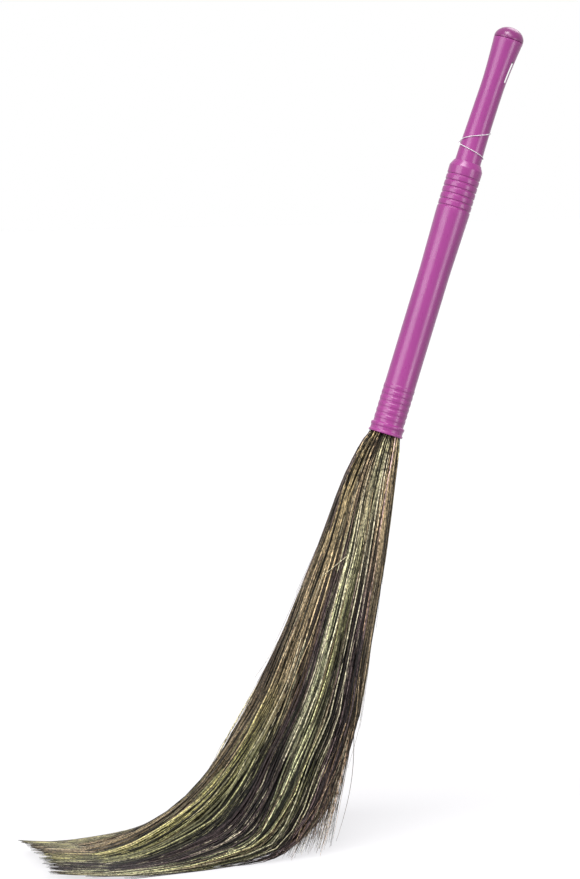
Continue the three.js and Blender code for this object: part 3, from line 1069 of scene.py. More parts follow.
@dataclass
class HeadForm:
    """Shape of the grass head, through which every stalk runs at its own place in the sections."""

    axis: HandleAxis
    mouth_height: float = 441.7
    table_size: int = 400
    floor: float = 0.6
    belly_station: int = 8
    overreach: float = 1.04
    thinnest: float = 0.05

    def stations(self) -> list[Station]:
        """The head's sections, from inside the sleeve to the tips of its tail.

        Returns:
            The sections, in order.
        """
        return [
            self.axis_station(-14, 14.8, 14.8, 14.8),
            self.axis_station(0, 16.8, 16.8, 16.8),
            self.axis_station(6, 19.6, 20.4, 19.6),
            self.axis_station(20, 22.6, 24.4, 23.0),
            self.axis_station(50, 27.4, 29.4, 29.4),
            self.axis_station(130, 37.4, 31.8, 46.0),
            self.axis_station(200, 44.4, 36.0, 59.4),
            self.axis_station(262, 51.2, 40.4, 71.2),
            Station((-44, 140), (-136, 170), 79, 0.25, 0, 0.05, 4, 4),
            Station((-63, 89), (-170, 115), 86, 0.5, 1, 0.2, 16, 16),
            Station((-84, 41), (-204, 73), 92, 0.8, 3, 0.42, 34, 38),
            Station((-120, 8), (-243, 41), 96, 1, 5, 0.6, 44, 52),
            Station((-160, self.floor), (-296, 16), 93, 1, 12, 0.6, 46, 34),
            Station((-222, self.floor), (-354, 9), 86, 1, 26, 0.45, 46, 14),
            Station((-308, self.floor), (-421, 19), 80, 1, 37, 0.25, 46, 0, 8),
        ]

    def __post_init__(self) -> None:
        """Makes a fine table of the sections' values along the head."""
        values = np.array([station.values() for station in self.stations()])
        middles = (values[:, 0:2] + values[:, 2:4]) / 2
        steps = np.linalg.norm(np.diff(middles, axis=0), axis=1)
        self.knots = np.concatenate([[0.0], np.cumsum(steps)]) / steps.sum()
        self.shares = np.linspace(0.0, 1.0, self.table_size)
        self.table = self.curves(values)
        self.belly = float(self.knots[self.belly_station])

    def axis_station(self, drop: float, low_depth: float, high_depth: float, half_width: float) -> Station:
        """A section square to the handle's axis.

        Args:
            drop: Distance below the mouth.
            low_depth: Reach from the axis to the low edge.
            high_depth: Reach from the axis to the high edge.
            half_width: Half its size across the plane of the sweep.

        Returns:
            The section.
        """
        up, side = HandleAxis.up_vector(), HandleAxis.side_vector()
        middle = Vector((0.0, 0.0, self.mouth_height)) - up * drop
        low, high = middle + side * low_depth, middle - side * high_depth
        return Station((low.x, low.z), (high.x, high.z), half_width)

    def curves(self, values: np.ndarray) -> np.ndarray:
        """Smooth curves through the sections' values, read at the table's shares.

        Args:
            values: One row of values for each section.

        Returns:
            One row of values for each of the table's shares.
        """
        slopes = np.gradient(values, self.knots, axis=0)
        spans = np.clip(np.searchsorted(self.knots, self.shares, side="right") - 1, 0, len(self.knots) - 2)
        width = (self.knots[spans + 1] - self.knots[spans])[:, None]
        t = (self.shares[:, None] - self.knots[spans][:, None]) / width
        start, end = values[spans], values[spans + 1]
        leaving, arriving = slopes[spans] * width, slopes[spans + 1] * width
        cubic = start * (2 * t**3 - 3 * t**2 + 1) + leaving * (t**3 - 2 * t**2 + t)
        return cubic + end * (3 * t**2 - 2 * t**3) + arriving * (t**3 - t**2)

    def place(self, along: np.ndarray, depth: np.ndarray, across: np.ndarray) -> np.ndarray:
        """Places in the head.

        Args:
            along: Shares of the way from the sleeve to the tips.
            depth: From -1 at the low edge to 1 at the high edge, in a round section.
            across: From -1 on the camera's side to 1 on the far side.

        Returns:
            The places in millimetres from the point of the floor under the mouth.
        """
        rows = [np.interp(along, self.shares, self.table[:, i]) for i in range(self.table.shape[1])]
        low_x, low_z, high_x, high_z, width, square, turn, drop, low_round, high_round, skew = rows
        column = np.sqrt(np.maximum(1 - across**2, self.thinnest))
        reach = 1 + (column - 1) * square
        share = (np.clip(depth / reach, -self.overreach, self.overreach) + 1) / 2
        edge = across**2
        x = low_x + (high_x - low_x) * share - low_round * edge * (1 - share) + high_round * edge * share
        x = x + skew * across
        y = across * width - turn
        z = low_z + (high_z - low_z) * share * (1 - drop * edge)
        return np.stack([x, y, z], axis=-1)

    def to_row(self, places: np.ndarray) -> np.ndarray:
        """Turns places from under the mouth into metres in the row frame."""
        return places * MM + np.array(self.axis.foot)


class Stalk(Enum):
    """Colours that the dried stalks take, as they are seen on a screen."""

    CREAM = (222, 212, 182)
    STRAW = (186, 166, 124)
    TAN = (154, 136, 106)
    BRONZE = (122, 107, 84)
    LICHEN = (138, 138, 108)
    OLIVE = (136, 130, 94)
    LEAF = (160, 154, 104)
    REED = (154, 148, 118)
    SAGE = (188, 188, 153)
    MOSS = (108, 106, 76)
    UMBER = (88, 72, 58)
    PLUM = (74, 62, 62)
    CHARCOAL = (46, 38, 38)


@dataclass(frozen=True)
class ColourBand:
    """A streak of the head: its width in degrees, and its stalks near the sleeve, halfway and low down."""

    width: float
    top: Stalk
    middle: Stalk
    low: Stalk


BANDS = (
    ColourBand(26, Stalk.PLUM, Stalk.UMBER, Stalk.BRONZE),
    ColourBand(18, Stalk.TAN, Stalk.BRONZE, Stalk.BRONZE),
    ColourBand(16, Stalk.STRAW, Stalk.TAN, Stalk.LEAF),
    ColourBand(14, Stalk.STRAW, Stalk.TAN, Stalk.MOSS),
    ColourBand(8, Stalk.TAN, Stalk.UMBER, Stalk.CHARCOAL),
    ColourBand(8, Stalk.UMBER, Stalk.PLUM, Stalk.CHARCOAL),
    ColourBand(14, Stalk.BRONZE, Stalk.SAGE, Stalk.CHARCOAL),
    ColourBand(16, Stalk.REED, Stalk.MOSS, Stalk.LICHEN),
    ColourBand(14, Stalk.REED, Stalk.PLUM, Stalk.MOSS),
    ColourBand(16, Stalk.TAN, Stalk.PLUM, Stalk.PLUM),
    ColourBand(36, Stalk.TAN, Stalk.BRONZE, Stalk.UMBER),
    ColourBand(30, Stalk.SAGE, Stalk.OLIVE, Stalk.MOSS),
    ColourBand(32, Stalk.BRONZE, Stalk.PLUM, Stalk.CHARCOAL),
    ColourBand(34, Stalk.STRAW, Stalk.TAN, Stalk.OLIVE),
    ColourBand(28, Stalk.REED, Stalk.OLIVE, Stalk.BRONZE),
    ColourBand(24, Stalk.BRONZE, Stalk.PLUM, Stalk.OLIVE),
    ColourBand(26, Stalk.UMBER, Stalk.UMBER, Stalk.OLIVE),
)
BAND_START = 40.0


@dataclass
class StrandSet:
    """A set of stalks of one kind, as arrays with one row for each."""

    places: np.ndarray
    radii: np.ndarray
    colours: np.ndarray
    across: np.ndarray

    def part(self, chosen: np.ndarray) -> "StrandSet":
        """The chosen stalks alone."""
        return StrandSet(self.places[chosen], self.radii[chosen], self.colours[chosen], self.across[chosen])


class StrandMesh:
    """Writes sets of stalks as one mesh of thin closed tubes."""

    def __init__(self, sets: list[StrandSet], sides: int = 3) -> None:
        """Lays out the tubes.

        Args:
            sets: The sets of stalks.
            sides: Sides of each tube.
        """
        self.sides = sides
        self.vertices: list[np.ndarray] = []
        self.colours: list[np.ndarray] = []
        self.quads: list[np.ndarray] = []
        self.caps: list[np.ndarray] = []
        self.total = 0
        for strands in sets:
            self.add(strands)

    def add(self, strands: StrandSet) -> None:
        """Adds a set of stalks.

        Args:
            strands: Places in metres in the row frame, radii in metres and linear colours.
        """
        count, samples = strands.radii.shape
        sides = self.sides
        points = tubes(strands.places, strands.radii, sides, cross_axes(strands.places, (0.0, 1.0, 0.0)))
        points[..., 2] = np.maximum(points[..., 2], 0.0)
        self.vertices.append(points.reshape(-1, 3))
        self.colours.append(np.repeat(strands.colours, sides, axis=1).reshape(-1, 3))
        starts = self.total + np.arange(count)[:, None, None] * samples * sides
        levels = starts + np.arange(samples - 1)[None, :, None] * sides
        corner = np.arange(sides)
        near, following = levels + corner, levels + (corner + 1) % sides
        self.quads.append(np.stack([near, following, following + sides, near + sides], axis=-1).reshape(-1, 4))
        ends = starts[:, :, 0] + corner[::-1]
        tips = starts[:, :, 0] + (samples - 1) * sides + corner
        self.caps.append(np.concatenate([ends, tips]))
        self.total += count * samples * sides

    def finish(self, name: str, material: bpy.types.Material, attribute: str) -> bpy.types.Object:
        """Makes the object.

        Args:
            name: The object's name.
            material: Its material.
            attribute: Name of the colour attribute that the material reads.

        Returns:
            The new object, linked to the scene.
        """
        vertices = np.concatenate(self.vertices)
        colours = np.concatenate(self.colours)
        quads, caps = np.concatenate(self.quads), np.concatenate(self.caps)
        corners = np.concatenate([quads.ravel(), caps.ravel()])
        starts = np.arange(len(quads)) * 4
        cap_starts = quads.size + np.arange(len(caps)) * self.sides
        mesh = bpy.data.meshes.new(name)
        mesh.vertices.add(len(vertices))
        mesh.vertices.foreach_set("co", vertices.ravel().astype(np.float32))
        mesh.loops.add(len(corners))
        mesh.loops.foreach_set("vertex_index", corners.astype(np.int32))
        mesh.polygons.add(len(quads) + len(caps))
        mesh.polygons.foreach_set("loop_start", np.concatenate([starts, cap_starts]).astype(np.int32))
        mesh.update(calc_edges=True)
        mesh.validate()
        layer = mesh.color_attributes.new(name=attribute, type="FLOAT_COLOR", domain="POINT")
        opaque = np.concatenate([colours, np.ones((len(colours), 1))], axis=1)
        layer.data.foreach_set("color", opaque.ravel().astype(np.float32))
        mesh.shade_smooth()
        mesh.materials.append(material)
        return linked(name, mesh)


@dataclass
class StalkColours:
    """Gives each stalk its colour along its length, by the streak that it lies in."""

    random: np.random.Generator
    streak_blur: float = 4.0
    stray_share: float = 0.1
    middle_ramp: tuple[float, float] = (0.1, 0.2)
    low_ramp: tuple[float, float] = (0.44, 0.13)
    cream_share: float = 0.12
    cream_strength: float = 0.75
    cream_fade: float = 0.5
    dark_and_gap_shade_share: float = 0.31
    dark_and_gap_shade_level: float = 0.08
    level: float = 0.16
    contrast: float = 0.64
    brightest: float = 0.72
    mouth_painted_light: float = 1.7
    mouth_painted_light_reach: float = 0.115
    belly_shade: float = 0.25
    belly_place: float = 0.44
    belly_reach: float = 0.07
    tip_shade: float = 0.7
    tip_ramp: tuple[float, float] = (0.975, 0.02)

    def __post_init__(self) -> None:
        """Turns the streaks' colours into linear arrays."""
        self.edges = np.cumsum([band.width for band in BANDS])
        stages = [[linear(*stalk.value) for stalk in (band.top, band.middle, band.low)] for band in BANDS]
        self.palette = np.array(stages)
        self.cream = np.array(linear(*Stalk.CREAM.value))

    def streak_of(self, depth: np.ndarray, across: np.ndarray) -> np.ndarray:
        """Number of the streak at places round the head.

        Args:
            depth: Places from the low edge to the high edge.
            across: Places from the camera's side to the far side.

        Returns:
            The streaks' numbers.
        """
        angle = np.degrees(np.arctan2(across, depth))
        angle = angle + self.random.normal(0.0, self.streak_blur, len(angle))
        turned = np.mod(BAND_START - angle, 360.0)
        streak = np.searchsorted(self.edges, turned, side="right") % len(BANDS)
        stray = self.random.random(len(angle)) < self.stray_share
        return np.where(stray, self.random.integers(0, len(BANDS), len(angle)), streak)

    def paint(self, streak: np.ndarray, along: np.ndarray, shade: np.ndarray) -> np.ndarray:
        """Colours at places along stalks.

        Args:
            streak: The stalks' streaks.
            along: Shares along the head, one row for each stalk.
            shade: The stalks' own brightness.

        Returns:
            Linear colours, one row for each stalk.
        """
        stages = self.palette[streak][:, None, :, :]
        lower = ramp(along, *self.low_ramp)[..., None]
        colour = blend(stages[:, :, 0], stages[:, :, 1], ramp(along, *self.middle_ramp)[..., None])
        colour = blend(colour, stages[:, :, 2], lower)
        draw = self.random.random(len(streak))
        creamy = np.where(draw < self.cream_share, self.cream_strength, 0.0)[:, None, None]
        colour = blend(colour, self.cream, creamy * (1 - self.cream_fade * lower))
        # Some stalks are darkened to near black: partly truly dark stalks, partly painted shade of the gaps
        # between stalks.
        dark = np.where(draw > 1 - self.dark_and_gap_shade_share, self.dark_and_gap_shade_level, 1.0)
        level = shade * dark * np.exp(self.random.normal(self.level, self.contrast, len(streak)))
        # Painted light: stalks just under the sleeve's mouth are brightened against the shadow that the
        # sleeve's lip casts on them.
        lip = self.mouth_painted_light * (1 - ramp(along, 0.0, self.mouth_painted_light_reach))
        belly = self.belly_shade * np.exp(-(((along - self.belly_place) / self.belly_reach) ** 2))
        tips = 1 - self.tip_shade * ramp(along, *self.tip_ramp)
        return self.capped(colour * level[:, None, None] * (tips * (1 + lip - belly))[..., None])

    def capped(self, colour: np.ndarray) -> np.ndarray:
        """Dims colours over the brightest that dried grass takes, with their hue kept."""
        return colour * np.minimum(self.brightest / np.maximum(colour.max(axis=-1, keepdims=True), TINY), 1.0)


@dataclass(frozen=True)
class HeelFringe:
    """Short straight branches of the heel: how they leave the head's skin, and where they meet the floor."""

    count: int = 900
    sides: tuple[float, float] = (-0.92, 0.95)
    depths: tuple[float, float] = (0.72, 1.0)
    highest: float = 0.2
    bend: float = 2.2
    front: float = -76.0
    inward: float = 64.0
    inward_bias: float = 0.6
    bulge: float = 26.0
    half_width: float = 94.0
    fan: float = 16.0
    shift: float = -5.0
    front_scatter: float = 3.0
    side_scatter: float = 2.0
    height: float = 26.0
    height_loss: float = 14.0
    floor: float = 0.4
    sway: float = 3.0
    root_radius: float = 0.34
    tip_radius: float = 0.12
    sizes: tuple[float, float] = (0.7, 1.2)
    shades: tuple[float, float] = (0.5, 2.4)
    colour_start: float = 0.3
    colour_length: float = 0.6
    tip_glow: float = 1.2

    def ends(self, random: np.random.Generator, across: np.ndarray) -> np.ndarray:
        """Where the branches end, in millimetres from the point of the floor under the mouth.

        Args:
            random: The head's random numbers.
            across: Places of the branches across the head.

        Returns:
            The ends, one row for each branch.
        """
        count = self.count
        inward = random.uniform(0.0, 1.0, count) ** self.inward_bias
        x = self.front - self.inward * inward - self.bulge * across**2
        x = x + random.normal(0.0, self.front_scatter, count)
        y = across * (self.half_width + self.fan * random.random(count)) + self.shift
        y = y + random.normal(0.0, self.side_scatter, count)
        z = np.abs(random.normal(0.0, 1.0, count)) * (self.height - self.height_loss * inward) + self.floor
        return np.stack([x, y, z], axis=-1)


@dataclass(frozen=True)
class LooseHairs:
    """Pale hairs that stand a little off the head, and one stalk that slants over it near the sleeve."""

    count: int = 480
    side_share: float = 0.97
    starts: tuple[float, float] = (0.1, 0.75)
    lengths: tuple[float, float] = (0.12, 0.3)
    lift_chance: tuple[float, float] = (1.0, 4.0)
    lift: float = 0.06
    drift: float = 0.13
    edge: float = 1.04
    root_radius: float = 0.3
    thinning: float = 0.16
    shade: float = 1.1
    slant_turn: float = -52.0
    slant_sweep: float = 30.0
    slant_start: float = 0.23
    slant_length: float = 0.045
    slant_lift: float = 1.05
    slant_radius: float = 0.5


@dataclass
class GrassHead:
    """The full head: stalks that leave the sleeve, and the fine branches that they fan out into."""

    form: HeadForm
    fringe: HeelFringe = HeelFringe()
    hairs: LooseHairs = LooseHairs()
    seed: int = 27
    stalk_count: int = 190
    stalk_samples: int = 16
    stalk_radius: float = 0.72
    stalk_scatter: float = 0.015
    stalk_lengths: tuple[float, float] = (0.05, 0.18)
    stalk_sizes: tuple[float, float] = (0.8, 1.2)
    stalk_taper: float = 0.75
    stalk_taper_curve: float = 1.5
    stalk_level: float = 0.1
    stalk_contrast: float = 0.25
    branches_per_stalk: int = 28
    branch_samples: int = 25
    branch_radius: float = 0.6
    branch_starts: tuple[float, float] = (0.0, 0.13)
    branch_lead: float = 0.94
    branch_variety: float = 0.4
    widest_branch: float = 2.2
    root_share: float = 0.55
    root_length: float = 0.1
    tip_radius: float = 0.16
    tip_length: float = 0.06
    tip_chance: tuple[float, float] = (0.7, 3.0)
    tip_loss: float = 0.16
    lock_spread: float = 0.085
    lock_contrast: float = 0.18
    lock_edge: float = 1.01
    parting_length: float = 0.2
    side_edge: float = 1.03
    wave_size: float = 0.026
    wave_turns: tuple[float, ...] = (1.3, 2.9, 5.1, 9.3)
    wave_fall: float = 0.6
    wave_onset: float = 1 / 2.2
    core_shade: float = 0.1
    skin_ramp: tuple[float, float] = (0.84, 0.15)
    tail_ramp: tuple[float, float] = (0.8, 0.12)
    tail_shade: float = 0.85
    heel_share: float = 0.93
    heel_depths: tuple[float, float] = (-0.25, 0.3)
    heel_reach: tuple[float, float] = (0.655, 0.765)
    heel_glow: float = 1.2
    heel_glow_length: float = 0.05

    def __post_init__(self) -> None:
        """Starts the repeatable random numbers and the colours."""
        self.random = np.random.default_rng(self.seed)
        self.colours = StalkColours(self.random)

    def stalk_places(self) -> tuple[np.ndarray, np.ndarray]:
        """Places of the stalks in a round section, evenly spread with some scatter.

        Returns:
            Their depths and their places across.
        """
        number = np.arange(self.stalk_count)
        radius = np.sqrt((number + 0.5) / self.stalk_count)
        angle = number * math.pi * (3 - math.sqrt(5))
        scatter = self.random.normal(0.0, self.stalk_scatter, (2, self.stalk_count))
        places = np.stack([radius * np.cos(angle), radius * np.sin(angle)]) + scatter
        depth, across = places / np.maximum(np.hypot(*places), 1.0)
        return depth, across

    def waves(self, along: np.ndarray) -> np.ndarray:
        """Slow sideways waves that grow towards the tips.

        Args:
            along: Shares along the head, one row for each stalk.

        Returns:
            The waves as shares of the section, one row for each stalk.
        """
        total = np.zeros_like(along)
        for turns in self.wave_turns:
            phase = self.random.uniform(0.0, math.tau, (len(along), 1))
            amount = self.random.normal(0.0, self.wave_size / turns**self.wave_fall, (len(along), 1))
            total += amount * np.sin(along * turns * math.tau + phase)
        return total * ramp(along, 0.0, self.wave_onset)

    def skin_shade(self, depth: np.ndarray, across: np.ndarray) -> np.ndarray:
        """Brightness by how near the head's skin a stalk lies, since little light reaches the inner ones."""
        return blend(self.core_shade, 1.0, ramp(np.hypot(depth, across), *self.skin_ramp))

    def stalks(self, depth: np.ndarray, across: np.ndarray, streak: np.ndarray) -> StrandSet:
        """The thick stalks near the sleeve.

        Args:
            depth: Their depths in the section.
            across: Their places across it.
            streak: Their streaks.

        Returns:
            The stalks.
        """
        count = len(depth)
        end = self.random.uniform(*self.stalk_lengths, (count, 1))
        share = np.linspace(0.0, 1.0, self.stalk_samples)[None, :]
        places = self.form.place(share * end, depth[:, None], across[:, None])
        own = self.random.uniform(*self.stalk_sizes, (count, 1))
        radii = self.stalk_radius * own * (1 - self.stalk_taper * share**self.stalk_taper_curve)
        shade = np.exp(self.random.normal(self.stalk_level, self.stalk_contrast, count))
        colours = self.colours.paint(streak, share * end, shade * self.skin_shade(depth, across))
        return StrandSet(self.form.to_row(places), radii * MM, colours, across)

    def branches(self, depth: np.ndarray, across: np.ndarray) -> StrandSet:
        """The fine branches that carry on from the stalks.

        Args:
            depth: The stalks' depths in the section.
            across: The stalks' places across it.

        Returns:
            The branches.
        """
        owner = np.repeat(np.arange(len(depth)), self.branches_per_stalk)
        count = len(owner)
        roots = np.stack([depth, across])[:, owner]
        aims = roots + self.random.normal(0.0, self.lock_spread, (2, count))
        aims = aims / np.maximum(np.hypot(*aims) / self.lock_edge, 1.0)
        start = self.random.uniform(*self.branch_starts, (count, 1))
        reach = 1 - self.random.beta(*self.tip_chance, (count, 1)) * self.tip_loss
        chance = np.interp(aims[0], self.heel_depths, (self.heel_share, 0.0))
        heel = (self.random.random(count) < chance)[:, None]
        reach = np.where(heel, self.random.uniform(*self.heel_reach, (count, 1)), reach)
        share = np.linspace(0.0, 1.0, self.branch_samples)[None, :] ** self.branch_lead
        along = start + (reach - start) * share
        parting = ramp(along, start, self.parting_length)
        parting = parting * parting * (3 - 2 * parting)
        own_depth, own_across = (
            blend(root[:, None], aim[:, None], parting) + self.waves(along) for root, aim in zip(roots, aims)
        )
        places = self.form.place(along, own_depth, np.clip(own_across, -self.side_edge, self.side_edge))
        own = np.minimum(np.exp(self.random.normal(0.0, self.branch_variety, (count, 1))), self.widest_branch)
        radii = blend(self.tip_radius, self.branch_radius * own, ramp(reach - along, 0.0, self.tip_length))
        radii = radii * blend(self.root_share, 1.0, ramp(along, start, self.root_length))
        lock_shade = np.exp(self.random.normal(0.0, self.lock_contrast, len(depth)))[owner]
        colours = self.colours.paint(self.colours.streak_of(*aims), along, lock_shade)
        skin = blend(self.skin_shade(*aims)[:, None], self.tail_shade, ramp(along, *self.tail_ramp))
        frayed = 1 + self.heel_glow * heel * (1 - ramp(reach - along, 0.0, self.heel_glow_length))
        colours = self.colours.capped(colours * (skin * frayed)[..., None])
        return StrandSet(self.form.to_row(places), radii * MM, colours, across[owner])

    def heel_wisps(self) -> StrandSet:
        """Short straight branches of the heel, which fray out where the head meets the floor.

        Returns:
            The wisps.
        """
        fringe, belly = self.fringe, self.form.belly
        count = fringe.count
        across = self.random.uniform(*fringe.sides, count)
        depth = -np.sqrt(1 - across**2) * self.random.uniform(*fringe.depths, count)
        start = self.random.uniform(fringe.highest, belly, (count, 1))
        share = np.linspace(0.0, 1.0, self.branch_samples)[None, :]
        upper = np.minimum(start + (belly - start) * share * fringe.bend, belly)
        kink = self.form.place(np.full((count, 1), belly), depth[:, None], across[:, None])
        drop = fringe.ends(self.random, across)[:, None, :] - kink
        fall = ramp(share, 1 / fringe.bend, 1 - 1 / fringe.bend)[..., None]
        sway = self.random.normal(0.0, fringe.sway, (count, 1, 3)) * np.sin(fall * math.pi)
        places = self.form.place(upper, depth[:, None], across[:, None]) + drop * fall + sway
        radii = fringe.tip_radius + fringe.root_radius * (1 - share**2)
        radii = radii * self.random.uniform(*fringe.sizes, (count, 1))
        streak = self.colours.streak_of(depth, across)
        shade = self.random.uniform(*fringe.shades, count)
        along = np.repeat(fringe.colour_start + fringe.colour_length * share, count, axis=0)
        colours = self.colours.paint(streak, along, shade) * (1 + fringe.tip_glow * share[..., None] ** 3)
        return StrandSet(self.form.to_row(places), radii * MM, self.colours.capped(colours), across)

    def strays(self) -> StrandSet:
        """Loose pale hairs that stand a little off the head.

        Returns:
            The hairs.
        """
        hairs, count = self.hairs, self.hairs.count
        angle = self.random.uniform(0.0, math.tau, count)
        depth, across = np.cos(angle), np.sin(angle) * hairs.side_share
        start = self.random.uniform(*hairs.starts, (count, 1))
        length = self.random.uniform(*hairs.lengths, (count, 1))
        share = np.linspace(0.0, 1.0, self.branch_samples)[None, :]
        along = np.minimum(start + length * share, 1.0)
        lift = 1 + self.random.beta(*hairs.lift_chance, (count, 1)) * hairs.lift * share
        drift = self.random.normal(0.0, hairs.drift, (count, 1)) * share
        sideways = np.clip(across[:, None] * lift + drift, -hairs.edge, hairs.edge)
        places = self.form.place(along, depth[:, None] * lift, sideways)
        radii = np.repeat(hairs.root_radius - hairs.thinning * share, count, axis=0)
        streak = self.colours.streak_of(depth, across)
        colours = self.colours.paint(streak, along, np.full(count, hairs.shade))
        turn = np.radians(hairs.slant_turn + hairs.slant_sweep * share)
        slant = np.stack([np.cos(turn), np.sin(turn)]) * hairs.slant_lift
        places[0] = self.form.place(hairs.slant_start + hairs.slant_length * share, *slant)[0]
        colours[0] = self.colours.cream
        radii[0] = hairs.slant_radius
        return StrandSet(self.form.to_row(places), radii * MM, colours, across)

    def build(self, material: bpy.types.Material, attribute: str) -> list[bpy.types.Object]:
        """Builds the head as one piece for each hank and one for the loose hairs.

        Args:
            material: The grass's finish.
            attribute: Name of the colour attribute that the finish reads.

        Returns:
            The head's pieces.
        """
        depth, across = self.stalk_places()
        streak = self.colours.streak_of(depth, across)
        sets = [self.stalks(depth, across, streak), self.branches(depth, across)]
        loose = StrandMesh([self.heel_wisps(), self.strays()])
        pieces = []
        for number, hank in enumerate(Hank):
            parts = [strands.part(np.searchsorted(HANK_EDGES, strands.across) == number) for strands in sets]
            piece = StrandMesh(parts).finish(f"{hank.value}_stalks", material, attribute)
            pieces.append(attach(piece, HANK_SLOTS[hank], hank.node))
        pieces.append(attach(loose.finish("loose_wisps", material, attribute), HANK_SLOTS[Hank.FRONT_OUTER]))
        return pieces

# Camera, lamps and floor


def direction(azimuth: float, elevation: float = 0.0) -> Vector:
    """Direction in which something stands from the broom.

    Args:
        azimuth: Degrees round from the broom's front, towards +X.
        elevation: Degrees above the floor.

    Returns:
        The direction, of length 1.
    """
    turn, rise = math.radians(azimuth), math.radians(elevation)
    level = math.cos(rise)
    return Vector((math.sin(turn) * level, -math.cos(turn) * level, math.sin(rise)))


def aimed(name: str, data: bpy.types.ID, back: Vector) -> bpy.types.Object:
    """Adds a camera or lamp that looks back along a direction.

    Args:
        name: The object's name.
        data: The camera or lamp.
        back: Direction from what it faces to itself.

    Returns:
        The new object.
    """
    obj = linked(name, data)
    obj.rotation_euler = back.to_track_quat("Z", "Y").to_euler()
    return obj


@dataclass(frozen=True)
class PhotoCamera:
    """The camera at the photograph's viewing angle, with its target measured from under the sleeve's mouth."""

    name: str = "photo_camera"
    azimuth: float = -22.08
    elevation: float = 6.48
    distance: float = 3815.0
    target: Point = (-112.6, 0.0, 442.8)
    focal_pixels: float = 3500.0
    sensor: float = 36.0
    farthest: float = 60.0

    def build(self, axis: HandleAxis) -> None:
        """Sets up the scene's camera.

        Args:
            axis: The handle's frame.
        """
        data = bpy.data.cameras.new(self.name)
        data.sensor_fit = "AUTO"
        data.sensor_width = self.sensor
        data.lens = self.focal_pixels / PHOTO_HEIGHT * self.sensor
        data.clip_end = self.farthest
        back = direction(self.azimuth, self.elevation)
        camera = aimed(self.name, data, back)
        camera.location = Vector(self.target) * MM + axis.foot + back * self.distance * MM
        bpy.context.scene.camera = camera


@dataclass(frozen=True)
class StripLamp:
    """An upright strip light beside the broom, which draws a long streak down the handle."""

    name: str
    azimuth: float
    distance: float
    width: float
    low: float
    high: float
    power: float

    def build(self) -> None:
        """Adds the lamp, facing the broom."""
        data = bpy.data.lights.new(self.name, "AREA")
        data.shape = "RECTANGLE"
        data.size = self.width
        data.size_y = self.high - self.low
        data.energy = self.power
        back = direction(self.azimuth)
        lamp = aimed(self.name, data, back)
        lamp.location = back * self.distance + Vector((0.0, 0.0, (self.low + self.high) / 2))


@dataclass(frozen=True)
class SunLamp:
    """A soft sun of the studio."""

    name: str
    azimuth: float
    elevation: float
    strength: float
    spread: float

    def build(self) -> None:
        """Adds the lamp, shining on the broom."""
        data = bpy.data.lights.new(self.name, "SUN")
        data.energy = self.strength
        data.angle = math.radians(self.spread)
        aimed(self.name, data, direction(self.azimuth, self.elevation))


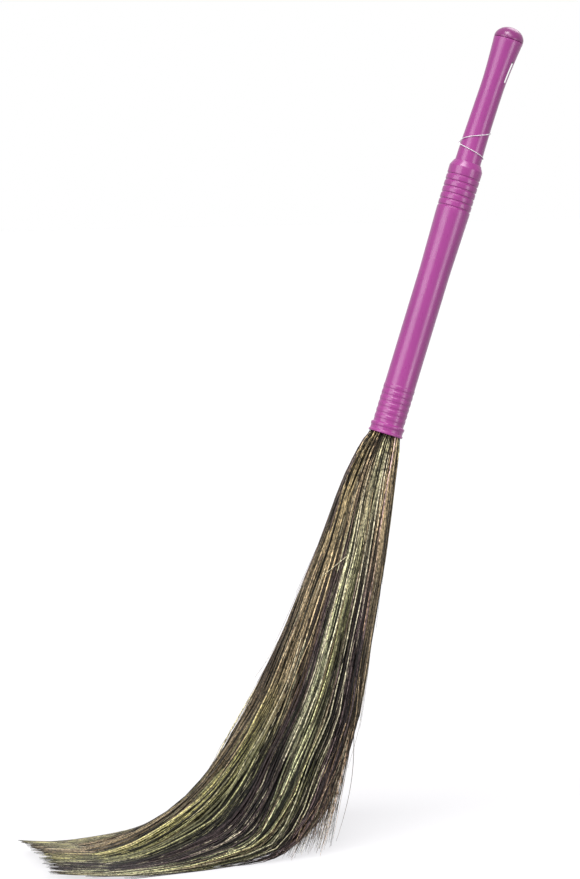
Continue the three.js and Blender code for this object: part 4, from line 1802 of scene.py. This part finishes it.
@dataclass(frozen=True)
class Studio:
    """White studio: a floor that keeps the shadow, a white surround and soft lamps."""

    floor_name: str = "studio_floor"
    floor_half: float = 12.0
    floor_drop: float = 0.0002
    floor_colour: Colour = (0.23, 0.23, 0.23)
    floor_glow: float = 0.74
    glow_colour: Colour = (0.985, 0.975, 1.0)
    ambient: float = 0.21
    lamps: tuple[SunLamp | StripLamp, ...] = (
        SunLamp("overhead_lamp", -40.0, 66.0, 2.2, 30.0),
        SunLamp("front_lamp", -12.0, 42.0, 0.9, 30.0),
        SunLamp("back_lamp", 130.0, 42.0, 0.9, 34.0),
        SunLamp("left_lamp", -70.0, 17.3, 1.5, 42.0),
        StripLamp("right_strip", 31.0, 2.2, 0.7, 0.02, 1.1, 11.0),
    )

    def seen_by_eye(self, tree: NodeTree) -> bpy.types.NodeSocket:
        """Value of 1 for rays from the camera, or through or off a surface, and 0 for light.

        Args:
            tree: The node tree to add the nodes to.

        Returns:
            The value.
        """
        path = tree.add("ShaderNodeLightPath").outputs
        value = path["Is Camera Ray"]
        for name in ("Is Glossy Ray", "Is Transmission Ray"):
            value = tree.add("ShaderNodeMath", {0: value, 1: path[name]}, operation="MAXIMUM").outputs["Value"]
        return value

    def build_surround(self) -> None:
        """Makes the world white to the eye and even to the object."""
        world = bpy.data.worlds.new("white_surround")
        bpy.context.scene.world = world
        tree = NodeTree(world)
        ends = {"To Min": self.ambient, "To Max": 1.0}
        strength = tree.add("ShaderNodeMapRange", {"Value": self.seen_by_eye(tree), **ends}).outputs["Result"]
        tree.feed(tree.nodes["Background"], {"Strength": strength, "Color": (1.0, 1.0, 1.0, 1.0)})

    def build_floor(self) -> None:
        """Lays the floor, which is white to the eye but for the broom's shadow."""
        half = self.floor_half
        mesh = bpy.data.meshes.new(self.floor_name)
        corners = [(-half, -half, 0.0), (half, -half, 0.0), (half, half, 0.0), (-half, half, 0.0)]
        mesh.from_pydata(corners, [], [(0, 1, 2, 3)])
        floor = linked(self.floor_name, mesh)
        floor.location.z = -self.floor_drop
        tree = NodeTree(bpy.data.materials.new("studio_white"))
        tree.nodes.remove(tree.shader)
        lit = {0: self.seen_by_eye(tree), 1: self.floor_glow}
        strength = tree.add("ShaderNodeMath", lit, operation="MULTIPLY").outputs["Value"]
        glow = tree.add("ShaderNodeEmission", {"Color": (*self.glow_colour, 1.0), "Strength": strength})
        diffuse = tree.add("ShaderNodeBsdfDiffuse", {"Color": (*self.floor_colour, 1.0)})
        both = tree.add("ShaderNodeAddShader", {0: diffuse.outputs["BSDF"], 1: glow.outputs["Emission"]})
        tree.feed(tree.nodes["Material Output"], {"Surface": both.outputs["Shader"]})
        mesh.materials.append(tree.owner)

    def build(self) -> None:
        """Builds the surround, the floor and the lamps."""
        self.build_surround()
        self.build_floor()
        for lamp in self.lamps:
            lamp.build()
        bpy.context.scene.view_settings.view_transform = "Standard"


def main() -> None:
    """Builds the broom's pieces in order, dresses them and reports each."""
    logging.basicConfig(level=logging.INFO, format="%(message)s")
    log = logging.getLogger("broom")
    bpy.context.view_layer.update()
    axis = HandleAxis.from_sleeve()
    PhotoCamera().build(axis)
    Studio().build()
    handle_plastic = moulded_plastic("magenta_plastic", linear(153, 50, 132), linear(143, 44, 124)).material()
    cap_plastic = moulded_plastic("cap_plastic", linear(130, 34, 110), linear(120, 30, 102)).material()
    form = GripForm()
    pieces = [
        SocketSleeve().build(axis, handle_plastic),
        GripTube(form).build(axis, handle_plastic),
        EndCap(form).build(axis, cap_plastic),
        WoundThread(form).build(axis, WHITE_THREAD.material()),
    ]
    HiddenCore().dress(GALVANISED_WIRE.material(), SPLIT_WOOD.material())
    grass = DriedGrass()
    pieces += GrassHead(HeadForm(axis)).build(grass.material(), grass.attribute)
    for piece in pieces:
        log.info("%s: %d faces", piece.name, len(piece.data.polygons))


if __name__ == "__main__":
    main()
